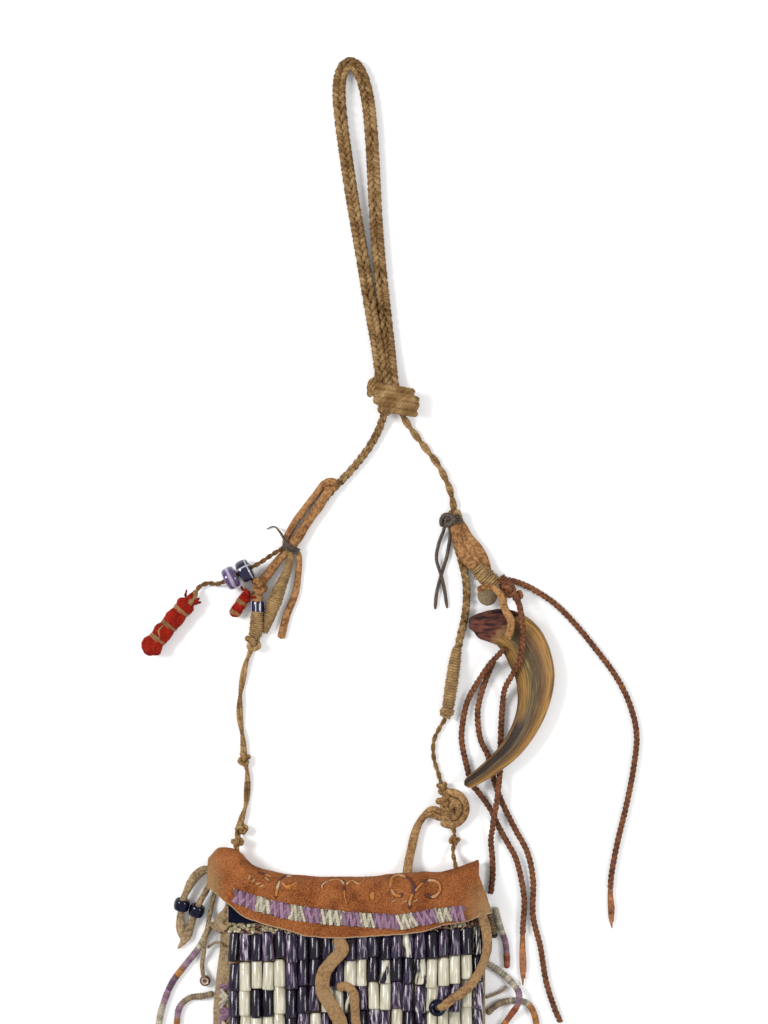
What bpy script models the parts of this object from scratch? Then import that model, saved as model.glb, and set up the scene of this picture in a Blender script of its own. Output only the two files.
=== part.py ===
"""Beaded medicine bag: a flat buckskin pouch covered with rows of tubular shell beads, closed by a
rolled suede flap with a quilled band, and hung from a braided fibre cord with thongs, glass beads,
red wool bundles and a bear claw. It lies on its back. X runs across the pouch, Y up towards the
hanging loop and Z up from the surface that it lies on. The origin is the middle of the pouch's back.
"""
import math

import bmesh
import bpy
from mathutils import Vector, geometry

MM = 0.001
CLEARANCE = 0.3 * MM

# Shell beads of the front, in columns and rows.
COLUMNS = 22
ROWS = 10
BEAD_DIAMETER = 3.8 * MM
BEAD_SPACING = 0.15 * MM
BEAD_LENGTH = 8.7 * MM
ROW_SLOPE = 0.03
EDGING_DIAMETER = 1.9 * MM
EDGING_HEIGHT = 3.0 * MM

# Leather panels of the pouch.
BACK_THICKNESS = 1.2 * MM
FRONT_THICKNESS = 1.0 * MM
POUCH_SWELL = 7.0 * MM
LEFT_MARGIN = 4.9 * MM
RIGHT_MARGIN = 0.2 * MM
TOP_MARGIN = 4.4 * MM
BOTTOM_MARGIN = 6.9 * MM
MOUTH_RISE = 5.0 * MM
CORNER_RADIUS = 6.0 * MM

# The flap, rolled over the mouth. Its edges are given as fractions of the pouch's half width, with
# heights above the top of the back panel.
FLAP_THICKNESS = 1.4 * MM
ROLL_REACH = 4.5 * MM
LINING_THICKNESS = 0.8 * MM
FLAP_END_LEAN = 4.5 * MM
FLAP_LEAN_SPAN = (0.75, 0.96)
FLAP_TOP_EDGE = ((-1.045, 18.9), (-0.99, 22.9), (-0.89, 23.3), (-0.81, 21.9), (-0.74, 18.2),
                 (-0.65, 15.8), (-0.44, 14.1), (-0.2, 13.2), (0.1, 13.3), (0.4, 14.5), (0.7, 15.2),
                 (0.83, 16.6), (0.96, 19.0))
FLAP_LOWER_EDGE = ((-1.045, 10.5), (-0.92, 5.3), (-0.85, 3.6), (-0.79, 0.8), (-0.66, -1.2),
                   (-0.48, -3.2), (-0.31, -5.6), (-0.1, -6.3), (0.25, -5.4), (0.55, -4.3),
                   (0.68, -2.2), (0.84, -1.2), (0.96, 1.6))
LINING_SPAN = (-0.89, 0.94)
LINING_LOWER = -0.6 * MM
QUILL_BAND_LINE = ((-0.82, 7.6), (-0.67, 5.3), (-0.44, 2.9), (-0.18, 1.2), (0.0, 0.5), (0.38, -0.7),
                   (0.63, 1.4), (0.83, 1.9))
QUILL_BAND_WIDTH = 5.0 * MM
QUILL_BAND_THICKNESS = 0.7 * MM
QUILL_TEETH = 13
QUILL_TOOTH_DEPTH = 0.5 * MM

# Thicknesses of the cords, braids and thongs.
BRAIDED_FIBRE = 3.8 * MM
SUSPENSION_CORD = 3.0 * MM
TWISTED_CORD = 2.6 * MM
TWO_PLY_CORD = 1.7 * MM
PENDANT_TWIST = 1.8 * MM
LEATHER_BRAID = 2.3 * MM
ROUND_THONG = 2.4 * MM
TIE_THONG = 2.2 * MM
SINEW = 1.2 * MM
CURL_SINEW = 1.0 * MM
BEAD_STRIP_WIDTH = 1.6 * MM
QUILLED_FRINGE = 2.2 * MM
SIDE_TUBE_DIAMETER = 2.8 * MM
STRAP_THICKNESS = 1.6 * MM
FLAP_STRAP_WIDTH = 4.8 * MM
FRONT_STRAP_WIDTH = 3.2 * MM
SIDE_STRAP_WIDTH = 3.2 * MM
TAIL_WIDTH = 2.4 * MM

# Threaded beads: outer diameter and length.
THREAD_CLEARANCE = 0.3 * MM
NAVY_BEAD = (4.6 * MM, 3.4 * MM)
RINGED_BEAD = (3.8 * MM, 2.6 * MM)
STRIPED_BEAD = (4.6 * MM, 3.7 * MM)
LARGE_BEAD = (7.8 * MM, 4.4 * MM)
RINGED_BEAD_HOLE = 1.0 * MM

# Where the threaded beads sit, in millimetres, and the way that their holes point.
LEFT_OUTER_PLACE, LEFT_OUTER_WAY = (-56.8, 53.5, 2.4), (1, 5, 0.7)
LEFT_INNER_PLACE, LEFT_INNER_WAY = (-52, 52, 2.4), (1.6, 5, 0.7)
RINGED_PLACE, STRIPED_PLACE = (-50, 27.8, 1.3), (-31.5, 155.6, 2.35)
NAVY_PLACE, LAVENDER_PLACE, PENDANT_WAY = (-35.6, 167.95, 4.0), (-40.4, 165.45, 4.0), (5, 2.6, 0)
FACE_UP, UP_THE_BAG = (0, 0, 1), (0, 1, 0)
SIDE_BEAD_OVERLAP = 0.6
SIDE_BEAD_DROP = 1.4

# Routes in millimetres, followed along each cord. A point with no height lies on the surface.
HANGING_LOOP = ((10.5, 231, 4.4), (9, 243, 1.9), (7, 256.5), (5, 270.5), (2.5, 284), (0.5, 297.5),
                (-1.5, 311), (-3, 323), (-3.5, 333), (-2, 339.5), (1, 342), (4.5, 339), (7, 331.5),
                (8.5, 319.5), (9, 304.5), (9.5, 289), (10, 273.5), (12, 258.5), (14, 245, 1.9),
                (16, 231.5, 4.4))
LEFT_CORD_UPPER = ((11.8, 220.9, 2.8), (10, 216), (7, 210.5), (2.5, 204.5), (-1.5, 200),
                   (-6, 195.5), (-10, 190.5), (-14, 185.5), (-17, 180.5), (-18.5, 178.3, 2.4))
LEFT_HITCH = ((-8, 198.7, 1.2), (-10.2, 195.7), (-13.4, 191.5), (-16.9, 186.9), (-20.2, 181.8),
              (-21.8, 178, 1.6))
SINEW_CURL = ((-21, 176.5, 3.6), (-22, 178.5, 4.2), (-24, 181.5, 2.8), (-26, 183, 0.8),
              (-28.5, 182, 0.5))
THONG_TAIL = ((-16.5, 172.5, 0.8), (-17.5, 166.5, 0.8), (-18.5, 160, 0.8), (-21.5, 152.5, 0.8),
              (-23.5, 144.5, 0.8))
KNOTTED_THONG = ((-22.5, 173.5, 1.6), (-25, 170.5, 1.4), (-28, 166.5, 1.8), (-31, 162.5, 2.3),
                 (-31.5, 158, 2.3), (-31.5, 152.5, 2.3))
LEFT_CORD_LOWER = ((-32.5, 144, 2.0), (-34, 140), (-35.5, 136), (-36.5, 131), (-37.5, 124),
                   (-37.5, 117.5), (-36.5, 110), (-36, 103.5), (-35, 98.5), (-35, 93), (-35.5, 87.5),
                   (-36.5, 82), (-37.5, 77.5, 2.2), (-37, 73.4, 4.6))
PENDANT_CORD = ((-23, 176, 3.2), (-27, 173, 3.8), (-30.5, 170.6, 4.0), (-33, 169.3, 4.0),
                (-38, 166.7, 4.0), (-43, 164.1, 4.0), (-45.5, 163.3, 3.0), (-48.5, 163.6, 1.8),
                (-51.5, 162.2, 1.5), (-53, 159.5, 2.6))
RIGHT_CORD_UPPER = ((18.3, 220.9, 2.7), (21.5, 216), (26, 210), (30.5, 204), (34, 197), (35.5, 191.5),
                    (36, 186.5))
DARK_THONG = ((29, 154.5), (30.5, 161.5), (30.5, 167), (29, 172.5), (29, 177.5), (30.2, 182),
              (30.7, 184.8), (31.8, 186), (32.9, 184.2), (32.6, 180.5), (32, 175), (32.5, 169),
              (32.5, 162), (34, 155))
RIGHT_THONG = ((40.8, 169.5, 1.8), (39.6, 175), (38.7, 179), (39.8, 181.8), (41.8, 180.5),
               (43, 176.5), (44, 172.5), (44.6, 169.4, 2.4))
RIGHT_CORD_MIDDLE = ((35.7, 183.5), (35.5, 178), (36.5, 171.5), (39, 165), (40, 158), (39.5, 151.5),
                     (38, 145), (37, 140.2))
RIGHT_CORD_LOWER = ((33, 117.5), (31, 114), (29, 109.5), (29, 103.5), (30.5, 98.5), (32, 93.5),
                    (34, 89), (35, 83.5), (36, 78), (36, 75), (35.5, 71.5, 2.4), (36.5, 67.2, 4.6))
KNOT_THONG = ((34.5, 84, 4.6), (31, 83.5, 2.8), (27, 84.5, 1.4), (24, 81.5, 1.2), (22, 77),
              (21, 72.5), (19.5, 66.4))
CURLED_THONG = ((51.2, 162.3, 3.4), (52.5, 159.5, 5.4), (52.5, 156.5, 7.8), (53.5, 154, 9.8),
                (55, 151, 10.4), (54.5, 147, 10.2), (53.5, 144.7, 9.8))
BRAID_ROUTES = (
    ((52.5, 165, 3.5), (57.5, 164, 1.6), (63, 161.5), (70.5, 156.5), (77.5, 149.5), (84.5, 141),
     (91.5, 131.5), (96, 122.5), (98.5, 112), (97.5, 100.5), (95, 87.5), (92, 75), (90, 64.5),
     (89.5, 58), (90, 51), (91, 45)),
    ((55.5, 161.5, 3.6), (57.5, 157.5, 7.6), (58.5, 153, 10.0), (59, 146, 10.3), (58, 137.5, 9.4),
     (55.5, 132.5, 7.4), (53.2, 127.5, 3.6), (52.5, 121.5), (52, 114), (51.8, 107), (51.8, 103, 1.4),
     (51.5, 98.5, 3.2), (51, 94, 3.9), (50.5, 89, 3.9), (49.5, 84, 3.9), (49, 80, 3.7),
     (48.5, 75.5, 1.8), (49, 70), (49.2, 64), (48.5, 57)),
    ((53, 142, 9.2), (51.5, 140, 7.2), (48.5, 136.5, 4.4), (46, 133, 3.8), (43, 128, 1.5),
     (40.5, 123), (39, 116.5), (38.5, 110), (40, 102), (42, 95), (45, 91), (48.5, 86), (51, 80.5),
     (54, 75), (57, 69.5), (59, 62), (60, 54.5), (59.5, 45), (59.5, 35), (60.5, 25.5)),
    ((49.5, 137), (47, 131), (44.5, 123), (44, 117.5), (45, 110), (47.5, 104.5), (49, 98.5),
     (51, 92), (53.5, 86), (57, 79), (61, 71.5), (63, 62), (63, 49.5), (65.5, 39), (67.5, 27),
     (70.5, 17.5), (72.5, 13)),
)
LEFT_TIE = ((-58, 43.5), (-57.7, 47.5), (-57.3, 51, 2.05), (-56.8, 53.5, 2.4), (-56.3, 56, 2.75),
            (-53.5, 61.5, 2.9), (-51, 64.2, 2.9), (-49, 64.8, 2.9), (-47.5, 62.8, 2.9), (-48.4, 59, 2.9),
            (-51.2, 54.5, 2.75), (-52, 52, 2.4), (-52.8, 49.5, 2.05), (-53.7, 46), (-55, 42),
            (-57, 38))
BEAD_STRIP = ((-46, 58), (-47.2, 53), (-48, 48.5, 2.8), (-48.7, 45, 3.7), (-49.5, 41, 3.7),
              (-49.8, 37, 2.2), (-50.5, 33), (-50.3, 30.4, 1.2))
FRINGE_LEFT_UPPER = ((-47.3, 46.8), (-49.5, 42.5), (-52, 38), (-56, 33), (-60.5, 27), (-63, 21.5),
                     (-65, 14.5), (-65, 8.5), (-63, 3))
FRINGE_LEFT_LOWER = ((-46.5, 23), (-50.5, 22), (-54.5, 21.5), (-58, 18.5), (-59, 14), (-59, 8.5),
                     (-57, 3.5))
FRINGE_RIGHT_UPPER = ((50, 52.5), (51.5, 46.5), (53.5, 40.5), (54, 35.5), (54, 31.5))
FRINGE_RIGHT_MIDDLE = ((47, 33.5), (51.5, 30.5), (55.5, 27, 1.5), (58, 23.5, 3.4), (57.5, 19.5, 3.8),
                       (55.5, 16, 2.0), (53, 12), (51.5, 7.5), (51, 3))
FRINGE_RIGHT_LOWER = ((47, 16), (51.5, 19.5), (56.5, 20.5), (61, 19.5), (63.5, 15.5), (64, 10),
                      (62, 5))
SIDE_TUBE = ((47.7, 51), (49, 46.5), (50, 42))
FLAP_STRAP = ((-3, 43.2), (-2, 40.5), (-5.5, 36.5), (-8.5, 32), (-8.5, 26), (-5.5, 21), (-3, 16),
              (-2.5, 8.5), (-2.5, 0), (-1, -8.5))
FRONT_STRAP = ((-4, 27.5), (-1, 28), (1.5, 26), (2, 21.5), (2.5, 15.5), (4, 7), (5, -1.5), (3.5, -9))
SIDE_STRAP = ((45.5, 48.5), (47, 43), (46.5, 37.5), (44, 31.5), (40.5, 27), (36, 24), (32.7, 22.2))

# Lashed, wrapped and tapered pieces: axis points with heights, and half widths along them.
CLAW_AXIS = ((43.5, 148, 4.2), (47.5, 149, 4.3), (53, 148, 4.4), (58, 144.5, 4.4), (61, 139, 4.4),
             (63, 131, 4.5), (61, 120, 4.8), (55.5, 109, 5.2), (48, 101, 5.6), (40, 94.5, 5.8))
CLAW_HALF_WIDTH = (2.6, 4.8, 6.2, 7.2, 7.2, 6.6, 5.4, 3.9, 2.3, 0.5)
CLAW_FLATNESS = 0.58
WRAPPED_BUNDLE = ((-20, 172.3, 1.4), (-21, 168.5, 2.2), (-23.5, 162.5, 2.6), (-26.5, 154.5, 2.1),
                  (-29, 146.5, 1.2))
WRAPPED_BUNDLE_HALF = (1.2, 2.1, 2.5, 2.0, 1.1)
LEFT_WHIPPING = ((-31.5, 151.9, 2.3), (-31.7, 149.5, 2.3), (-32, 146.5, 2.3))
LEFT_WHIPPING_HALF = (1.8, 2.2, 2.0)
SMALL_RED_BUNDLE = ((-34.1, 160.9, 2.3), (-35.6, 158.8, 2.1), (-37.5, 156, 2.1), (-39.5, 153, 2.1),
                    (-40.2, 152, 2.1))
SMALL_RED_HALF = (1.2, 2.0, 1.9, 2.1, 1.3)
LONG_RED_BUNDLE = ((-53.7, 158.6, 3.4), (-55.6, 156.5, 3.4), (-57.2, 154.5, 3.4), (-59.4, 152, 3.4),
                   (-61.3, 149.6, 3.4), (-63.5, 147, 3.4), (-65.4, 144.6, 3.4), (-67.4, 142.2, 3.4),
                   (-69.5, 139.5, 3.4))
LONG_RED_HALF = (1.6, 3.3, 2.7, 3.4, 2.7, 3.4, 2.8, 3.4, 2.2)
RIGHT_WHIPPING = ((44.8, 167.7, 3.0), (46.5, 166.2, 3.0), (48.5, 164.4, 3.0), (49.9, 163.1, 3.0))
RIGHT_WHIPPING_HALF = (2.4, 3.0, 2.9, 2.2)
WHIPPED_STICK = ((36.6, 139.4, 2.2), (36.2, 137, 2.2), (35, 129, 2.2), (33.9, 121.5, 2.2),
                 (33.4, 118.3, 2.2))
WHIPPED_STICK_HALF = (1.6, 2.1, 2.2, 2.2, 1.0)

# Knots: centre and half sizes.
LOOP_KNOT_BAND = ((15, 225.5, 4.8), (9.0, 4.5, 4.7))
LOOP_KNOT_CROWN = ((13.5, 231, 4.7), (5.4, 5.0, 4.4))
RIGHT_KNOT = ((36, 186.5, 2.7), (2.6, 2.7, 2.6))
THONG_KNOT_LUMP = ((-31, 162.5, 2.6), (2.5, 2.5, 2.5))
LEFT_KNOTS = (((-32.5, 144, 2.6), (2.7, 2.0, 2.5)), ((-36, 103.5, 1.9), (2.1, 2.0, 1.8)),
              ((-36.5, 81.5, 2.1), (2.3, 2.1, 2.0)), ((-37.5, 77, 2.6), (2.0, 1.8, 1.9)))
RIGHT_KNOTS = (((32, 93.5, 2.0), (1.9, 2.4, 1.9)), ((36, 75.5, 2.2), (2.2, 2.4, 2.1)))
TIED_KNOT = ((36, 86.5, 5.2), (4.8, 5.2, 3.0))
SINEW_TIE = ((-20, 175.5, 2.7), (2.5, 2.4, 2.6))

BEAD_PITCH = BEAD_DIAMETER + BEAD_SPACING
ROW_PITCH = BEAD_LENGTH + CLEARANCE
POUCH_WIDTH = LEFT_MARGIN + COLUMNS * BEAD_PITCH + RIGHT_MARGIN
POUCH_HEIGHT = TOP_MARGIN + ROWS * ROW_PITCH - CLEARANCE + BOTTOM_MARGIN
HALF_WIDTH = POUCH_WIDTH / 2
BACK_TOP = POUCH_HEIGHT / 2
BACK_BOTTOM = -POUCH_HEIGHT / 2
MOUTH = BACK_TOP + MOUTH_RISE
BEADS_LEFT = -HALF_WIDTH + LEFT_MARGIN
BEADS_TOP = BACK_TOP - TOP_MARGIN
SEAM_HEIGHT = BACK_THICKNESS + CLEARANCE
LEATHER_SEGMENTS = 16
ROLL_STEPS = 6
LINING_SLACK = 0.06
CORD_SPACING = 3.0
LOOP_SPACING = 1.6

for old in list(bpy.data.objects):
    bpy.data.objects.remove(old, do_unlink=True)
bag = bpy.data.collections.new("beaded_medicine_bag")
bpy.context.scene.collection.children.link(bag)
cutters = bpy.data.collections.new("joining_solids")
bpy.context.scene.collection.children.link(cutters)


def material(name, colour, roughness, metallic=0.0):
    made = bpy.data.materials.new(name)
    made.use_nodes = True
    shader = made.node_tree.nodes["Principled BSDF"]
    shader.inputs["Base Color"].default_value = (*colour, 1.0)
    shader.inputs["Roughness"].default_value = roughness
    shader.inputs["Metallic"].default_value = metallic
    return made


BUCKSKIN = material("buckskin", (0.35, 0.25, 0.14), 0.9)
SUEDE = material("smoked_suede", (0.36, 0.11, 0.035), 0.95)
NAVY_WOOL = material("navy_wool", (0.008, 0.012, 0.045), 0.95)
PURPLE_SHELL = material("purple_shell", (0.05, 0.035, 0.085), 0.25)
SEED_BEADS = material("seed_beads", (0.55, 0.5, 0.38), 0.35)
QUILL = material("quill", (0.6, 0.48, 0.52), 0.45)
TAN_THONG = material("tan_thong", (0.5, 0.25, 0.1), 0.85)
FIBRE = material("plant_fibre", (0.3, 0.17, 0.06), 0.85)
DARK_SINEW = material("dark_sinew", (0.08, 0.04, 0.03), 0.7)
RED_BROWN = material("red_brown_leather", (0.2, 0.06, 0.025), 0.75)
CREAM_THREAD = material("cream_thread", (0.5, 0.4, 0.22), 0.8)
RED_WOOL = material("red_wool", (0.38, 0.018, 0.01), 0.95)
NAVY_GLASS = material("navy_glass", (0.005, 0.008, 0.05), 0.1)
LAVENDER_GLASS = material("lavender_glass", (0.2, 0.17, 0.42), 0.15)
RED_GLASS = material("dark_red_glass", (0.14, 0.01, 0.01), 0.2)
CLAW_HORN = material("claw_horn", (0.3, 0.16, 0.05), 0.4)


def station(name):
    """An empty that groups the pieces of one part of the bag."""
    empty = bpy.data.objects.new(name, None)
    bag.objects.link(empty)
    return empty


POUCH = station("pouch")
LEFT_STRAND = station("left_strand")
RIGHT_STRAND = station("right_strand")


def place(name, data, finish, parent):
    """Link one named sub-part into the bag with its own material and its parent."""
    data.materials.append(finish)
    item = bpy.data.objects.new(name, data)
    item.parent = parent
    bag.objects.link(item)
    return item


def between(table, position):
    """Straight interpolation in a table of (position, value) pairs."""
    for (a, first), (b, second) in zip(table, table[1:]):
        if position <= b:
            break
    share = min(1.0, max(0.0, (position - a) / (b - a)))
    return first + (second - first) * share


def swell(x):
    """How much of the pouch's swell is reached across its width, 0 at the side seams."""
    return 1.0 - min(1.0, abs(x) / HALF_WIDTH) ** 4


def slope_factor(x):
    """A panel's upright thickness over its own thickness, where its surface slopes."""
    slope = POUCH_SWELL * 4 * min(1.0, abs(x) / HALF_WIDTH) ** 3 / HALF_WIDTH
    return math.sqrt(1.0 + slope * slope)


def panel_top(x):
    return SEAM_HEIGHT + POUCH_SWELL * swell(x) + FRONT_THICKNESS * slope_factor(x)


def bead_top(x):
    return panel_top(x) + CLEARANCE + BEAD_DIAMETER


def flap_top(x):
    """Height of the flap's outer face, which lies on the beads and keeps its roll at the ends."""
    held = min(abs(x), HALF_WIDTH - 2 * MM)
    return bead_top(held) + CLEARANCE + FLAP_THICKNESS * slope_factor(held)


def mesh_from(rings, close_ring=True):
    """A mesh through rings of equally many points, capped where the rings are closed."""
    build = bmesh.new()
    grid = [[build.verts.new(point) for point in ring] for ring in rings]
    count = len(grid[0])
    last = count if close_ring else count - 1
    for ring, following in zip(grid, grid[1:]):
        for i in range(last):
            j = (i + 1) % count
            build.faces.new((ring[i], ring[j], following[j], following[i]))
    if close_ring:
        build.faces.new(grid[0])
        build.faces.new(grid[-1])
        bmesh.ops.recalc_face_normals(build, faces=build.faces)
    made = bpy.data.meshes.new("lofted")
    build.to_mesh(made)
    build.free()
    return made


def sheet(name, rows, thickness, finish, parent, offset):
    """A leather or cloth sheet: an open surface through the rows, thickened to one side."""
    made = mesh_from(rows, close_ring=False)
    item = place(name, made, finish, parent)
    solid = item.modifiers.new("thickness", "SOLIDIFY")
    solid.thickness = thickness
    solid.offset = offset
    solid.use_even_offset = True
    return item


def smooth_points(route, floor_height, spacing):
    """Evenly spaced points on a smooth curve through a route given in millimetres."""
    knots = [Vector((p[0] * MM, p[1] * MM, p[2] * MM if len(p) > 2 else floor_height)) for p in route]
    ends = [2 * knots[0] - knots[1], *knots, 2 * knots[-1] - knots[-2]]
    dense = []
    for before, start, end, after in zip(ends, ends[1:], ends[2:], ends[3:]):
        reach = (end - start).length / 3
        leave = start + (end - before).normalized() * reach
        arrive = end - (after - start).normalized() * reach
        dense += geometry.interpolate_bezier(start, leave, arrive, end, 12)[:-1]
    dense.append(knots[-1])
    for point in dense:
        point.z = max(point.z, floor_height)
    total = sum((b - a).length for a, b in zip(dense, dense[1:]))
    steps = max(3, round(total / spacing))
    points, walked, i = [dense[0]], 0.0, 0
    for k in range(1, steps):
        goal = total * k / steps
        while walked + (dense[i + 1] - dense[i]).length < goal:
            walked += (dense[i + 1] - dense[i]).length
            i += 1
        step = dense[i + 1] - dense[i]
        points.append(dense[i] + step * ((goal - walked) / step.length))
    return points + [dense[-1]]


def swept(points, radius, half_spread=0.0, tilt=0.0):
    """Curve data for a round cord, or for a flat strap where half_spread is given."""
    data = bpy.data.curves.new("swept", "CURVE")
    data.dimensions = "3D"
    data.twist_mode = "Z_UP" if half_spread else "MINIMUM"
    data.bevel_depth = radius
    data.bevel_resolution = 2
    data.extrude = half_spread
    data.use_fill_caps = True
    spline = data.splines.new("POLY")
    spline.points.add(len(points) - 1)
    for target, point in zip(spline.points, points):
        target.co = (*point, 1.0)
        target.tilt = tilt
    return data


def cord(name, route, diameter, finish, parent, spacing=CORD_SPACING):
    """A round cord, braid or thong that lies where its route leads."""
    points = smooth_points(route, diameter / 2, spacing * diameter)
    return place(name, swept(points, diameter / 2), finish, parent)


def strap(name, points, width, finish, parent):
    """A flat thong, lying on its broad side."""
    spread = (width - STRAP_THICKNESS) / 2
    return place(name, swept(points, STRAP_THICKNESS / 2, spread, math.pi / 2), finish, parent)


def over_beads(route, width):
    """Points of a route over the beads, each at the height of the beads below it."""
    lifted = []
    for x, y in route:
        reach = max(0.0, abs(x * MM) - width / 2)
        height = bead_top(reach) + CLEARANCE + STRAP_THICKNESS / 2
        lifted.append((x, y, height / MM))
    return smooth_points(lifted, 0.0, 1.2 * width)


def made_mesh(item):
    """The same piece as a closed mesh, so that knots can be joined to it."""
    bpy.context.view_layer.update()
    evaluated = item.evaluated_get(bpy.context.evaluated_depsgraph_get())
    data = bpy.data.meshes.new_from_object(evaluated)
    build = bmesh.new()
    build.from_mesh(data)
    bmesh.ops.remove_doubles(build, verts=build.verts, dist=0.01 * MM)
    bmesh.ops.recalc_face_normals(build, faces=build.faces)
    build.to_mesh(data)
    build.free()
    solid = bpy.data.objects.new("solid", data)
    solid.matrix_world = item.matrix_world
    solid.parent = item.parent
    bag.objects.link(solid)
    name = item.name
    bpy.data.objects.remove(item, do_unlink=True)
    solid.name = name
    return solid


def lump(name, size):
    """The closed outer shape of a knot, as an egg at a centre with three half sizes."""
    centre, half = size
    build = bmesh.new()
    bmesh.ops.create_uvsphere(build, u_segments=10, v_segments=6, radius=MM)
    bmesh.ops.scale(build, vec=half, verts=build.verts)
    data = bpy.data.meshes.new(name)
    build.to_mesh(data)
    build.free()
    item = bpy.data.objects.new(name, data)
    item.location = Vector(centre) * MM
    return item


def join_to(target, extra):
    """Join a helper solid to a piece, so that the two are one closed body."""
    cutters.objects.link(extra)
    extra.hide_render = True
    extra.display_type = "WIRE"
    joined = target.modifiers.new("join_" + extra.name, "BOOLEAN")
    joined.operation = "UNION"
    joined.solver = "EXACT"
    joined.object = extra


def knotted(item, knots):
    solid = made_mesh(item)
    for number, knot in enumerate(knots, 1):
        join_to(solid, lump(f"{solid.name}_knot_{number}", knot))
    return solid


def threaded_bead(name, size, hole, centre, direction, finish, parent):
    """A turned glass bead with its hole, its axis along the thong that it is threaded on."""
    outer, length = size[0] / 2, size[1] / 2
    profile = ((hole / 2, length), (0.75 * outer, length), (outer, 0.5 * length),
               (outer, -0.5 * length), (0.75 * outer, -length), (hole / 2, -length))
    data = bpy.data.meshes.new(name)
    edges = [(i, (i + 1) % len(profile)) for i in range(len(profile))]
    data.from_pydata([(x, 0.0, z) for x, z in profile], edges, [])
    item = place(name, data, finish, parent)
    turn = item.modifiers.new("turned", "SCREW")
    turn.steps = 14
    turn.render_steps = 14
    turn.use_merge_vertices = True
    turn.merge_threshold = 0.00001
    item.location = Vector(centre) * MM
    item.rotation_euler = Vector(direction).to_track_quat("Z", "Y").to_euler()
    return item


def tapered(name, axis, halves, finish, parent, flatness=1.0, sides=10, fine=1):
    """A wrapped bundle or a claw: oval rings along its axis, as wide as its half widths say."""
    points = [Vector(p) * MM for p in axis]
    stations = []
    for i in range(len(points) - 1):
        before = points[max(0, i - 1)]
        after = points[min(len(points) - 1, i + 2)]
        reach = (points[i + 1] - points[i]).length / 3
        leave = points[i] + (points[i + 1] - before).normalized() * reach
        arrive = points[i + 1] - (after - points[i]).normalized() * reach
        line = geometry.interpolate_bezier(points[i], leave, arrive, points[i + 1], fine + 1)
        for k in range(fine):
            share = k / fine
            stations.append((line[k], halves[i] * (1 - share) + halves[i + 1] * share))
    stations.append((points[-1], halves[-1]))
    rings = []
    for k, (centre, half) in enumerate(stations):
        ahead = stations[min(k + 1, len(stations) - 1)][0]
        behind = stations[max(k - 1, 0)][0]
        along = (ahead - behind).normalized()
        side = along.cross(Vector((0, 0, 1))).normalized()
        up = side.cross(along)
        rings.append([centre + half * MM * (math.cos(a) * side + flatness * math.sin(a) * up)
                      for a in (math.tau * s / sides for s in range(sides))])
    return place(name, mesh_from(rings), finish, parent)


def lobed_strip(name, first_x, pitch, diameter, count, top_y, length, arc_steps, finish):
    """A row of beads side by side on the front panel, joined where they touch."""
    outline = []
    for column in range(count):
        middle = first_x + (column + 0.5) * pitch
        for step in range(arc_steps):
            angle = math.pi * (1 - step / arc_steps)
            x = middle + pitch / 2 * math.cos(angle)
            crown = diameter / 2 * (1 + math.sin(angle))
            outline.append((x, panel_top(x) + CLEARANCE + crown))
    last_x = first_x + count * pitch
    outline.append((last_x, panel_top(last_x) + CLEARANCE + diameter / 2))
    for column in range(count, -1, -1):
        x = first_x + column * pitch
        outline.append((x, panel_top(x) + CLEARANCE))
    rings = [[Vector((x, y + ROW_SLOPE * x, z)) for x, z in outline] for y in (top_y, top_y - length)]
    return place(name, mesh_from(rings), finish, POUCH)


def corner_inset(y):
    """How far the rounded lower corners pull the side edge in at a height."""
    below = BACK_BOTTOM + CORNER_RADIUS - y
    if below <= 0:
        return 0.0
    return CORNER_RADIUS - math.sqrt(max(0.0, CORNER_RADIUS ** 2 - below ** 2))


def make_back_panel():
    """The flat back: a filled outline with two rounded lower corners."""
    corner = [math.pi / 2 * k / 5 for k in range(6)]
    right = [(HALF_WIDTH - CORNER_RADIUS * (1 - math.cos(a)),
              BACK_BOTTOM + CORNER_RADIUS * (1 - math.sin(a))) for a in corner]
    left = [(-x, y) for x, y in reversed(right)]
    outline = [(-HALF_WIDTH, BACK_TOP), (HALF_WIDTH, BACK_TOP), *right, *left]
    data = bpy.data.curves.new("back_outline", "CURVE")
    data.dimensions = "2D"
    data.fill_mode = "BOTH"
    data.extrude = BACK_THICKNESS / 2
    spline = data.splines.new("POLY")
    spline.points.add(len(outline) - 1)
    for target, (x, y) in zip(spline.points, outline):
        target.co = (x, y, 0.0, 1.0)
    spline.use_cyclic_u = True
    item = place("back_panel", data, BUCKSKIN, POUCH)
    item.location.z = BACK_THICKNESS / 2


def make_front_panel():
    """The front: sewn to the back at the sides and bottom, swelling between them, open at the mouth."""
    hem = [BACK_BOTTOM + BOTTOM_MARGIN * (1 - math.cos(math.pi / 2 * k / 4)) for k in range(5)]
    body = [hem[-1] + (MOUTH - hem[-1]) * k / 3 for k in range(1, 4)]
    rows = []
    for y in hem + body:
        rise = math.sin(math.pi / 2 * min(1.0, (y - BACK_BOTTOM) / BOTTOM_MARGIN))
        half = HALF_WIDTH - corner_inset(y)
        row = []
        for i in range(LEATHER_SEGMENTS + 1):
            share = math.sin(math.pi / 2 * (2 * i / LEATHER_SEGMENTS - 1))
            height = SEAM_HEIGHT + POUCH_SWELL * swell(share * HALF_WIDTH) * rise
            row.append(Vector((share * half, y, height)))
        rows.append(row)
    sheet("front_panel", rows, FRONT_THICKNESS, BUCKSKIN, POUCH, 1.0)


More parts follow.
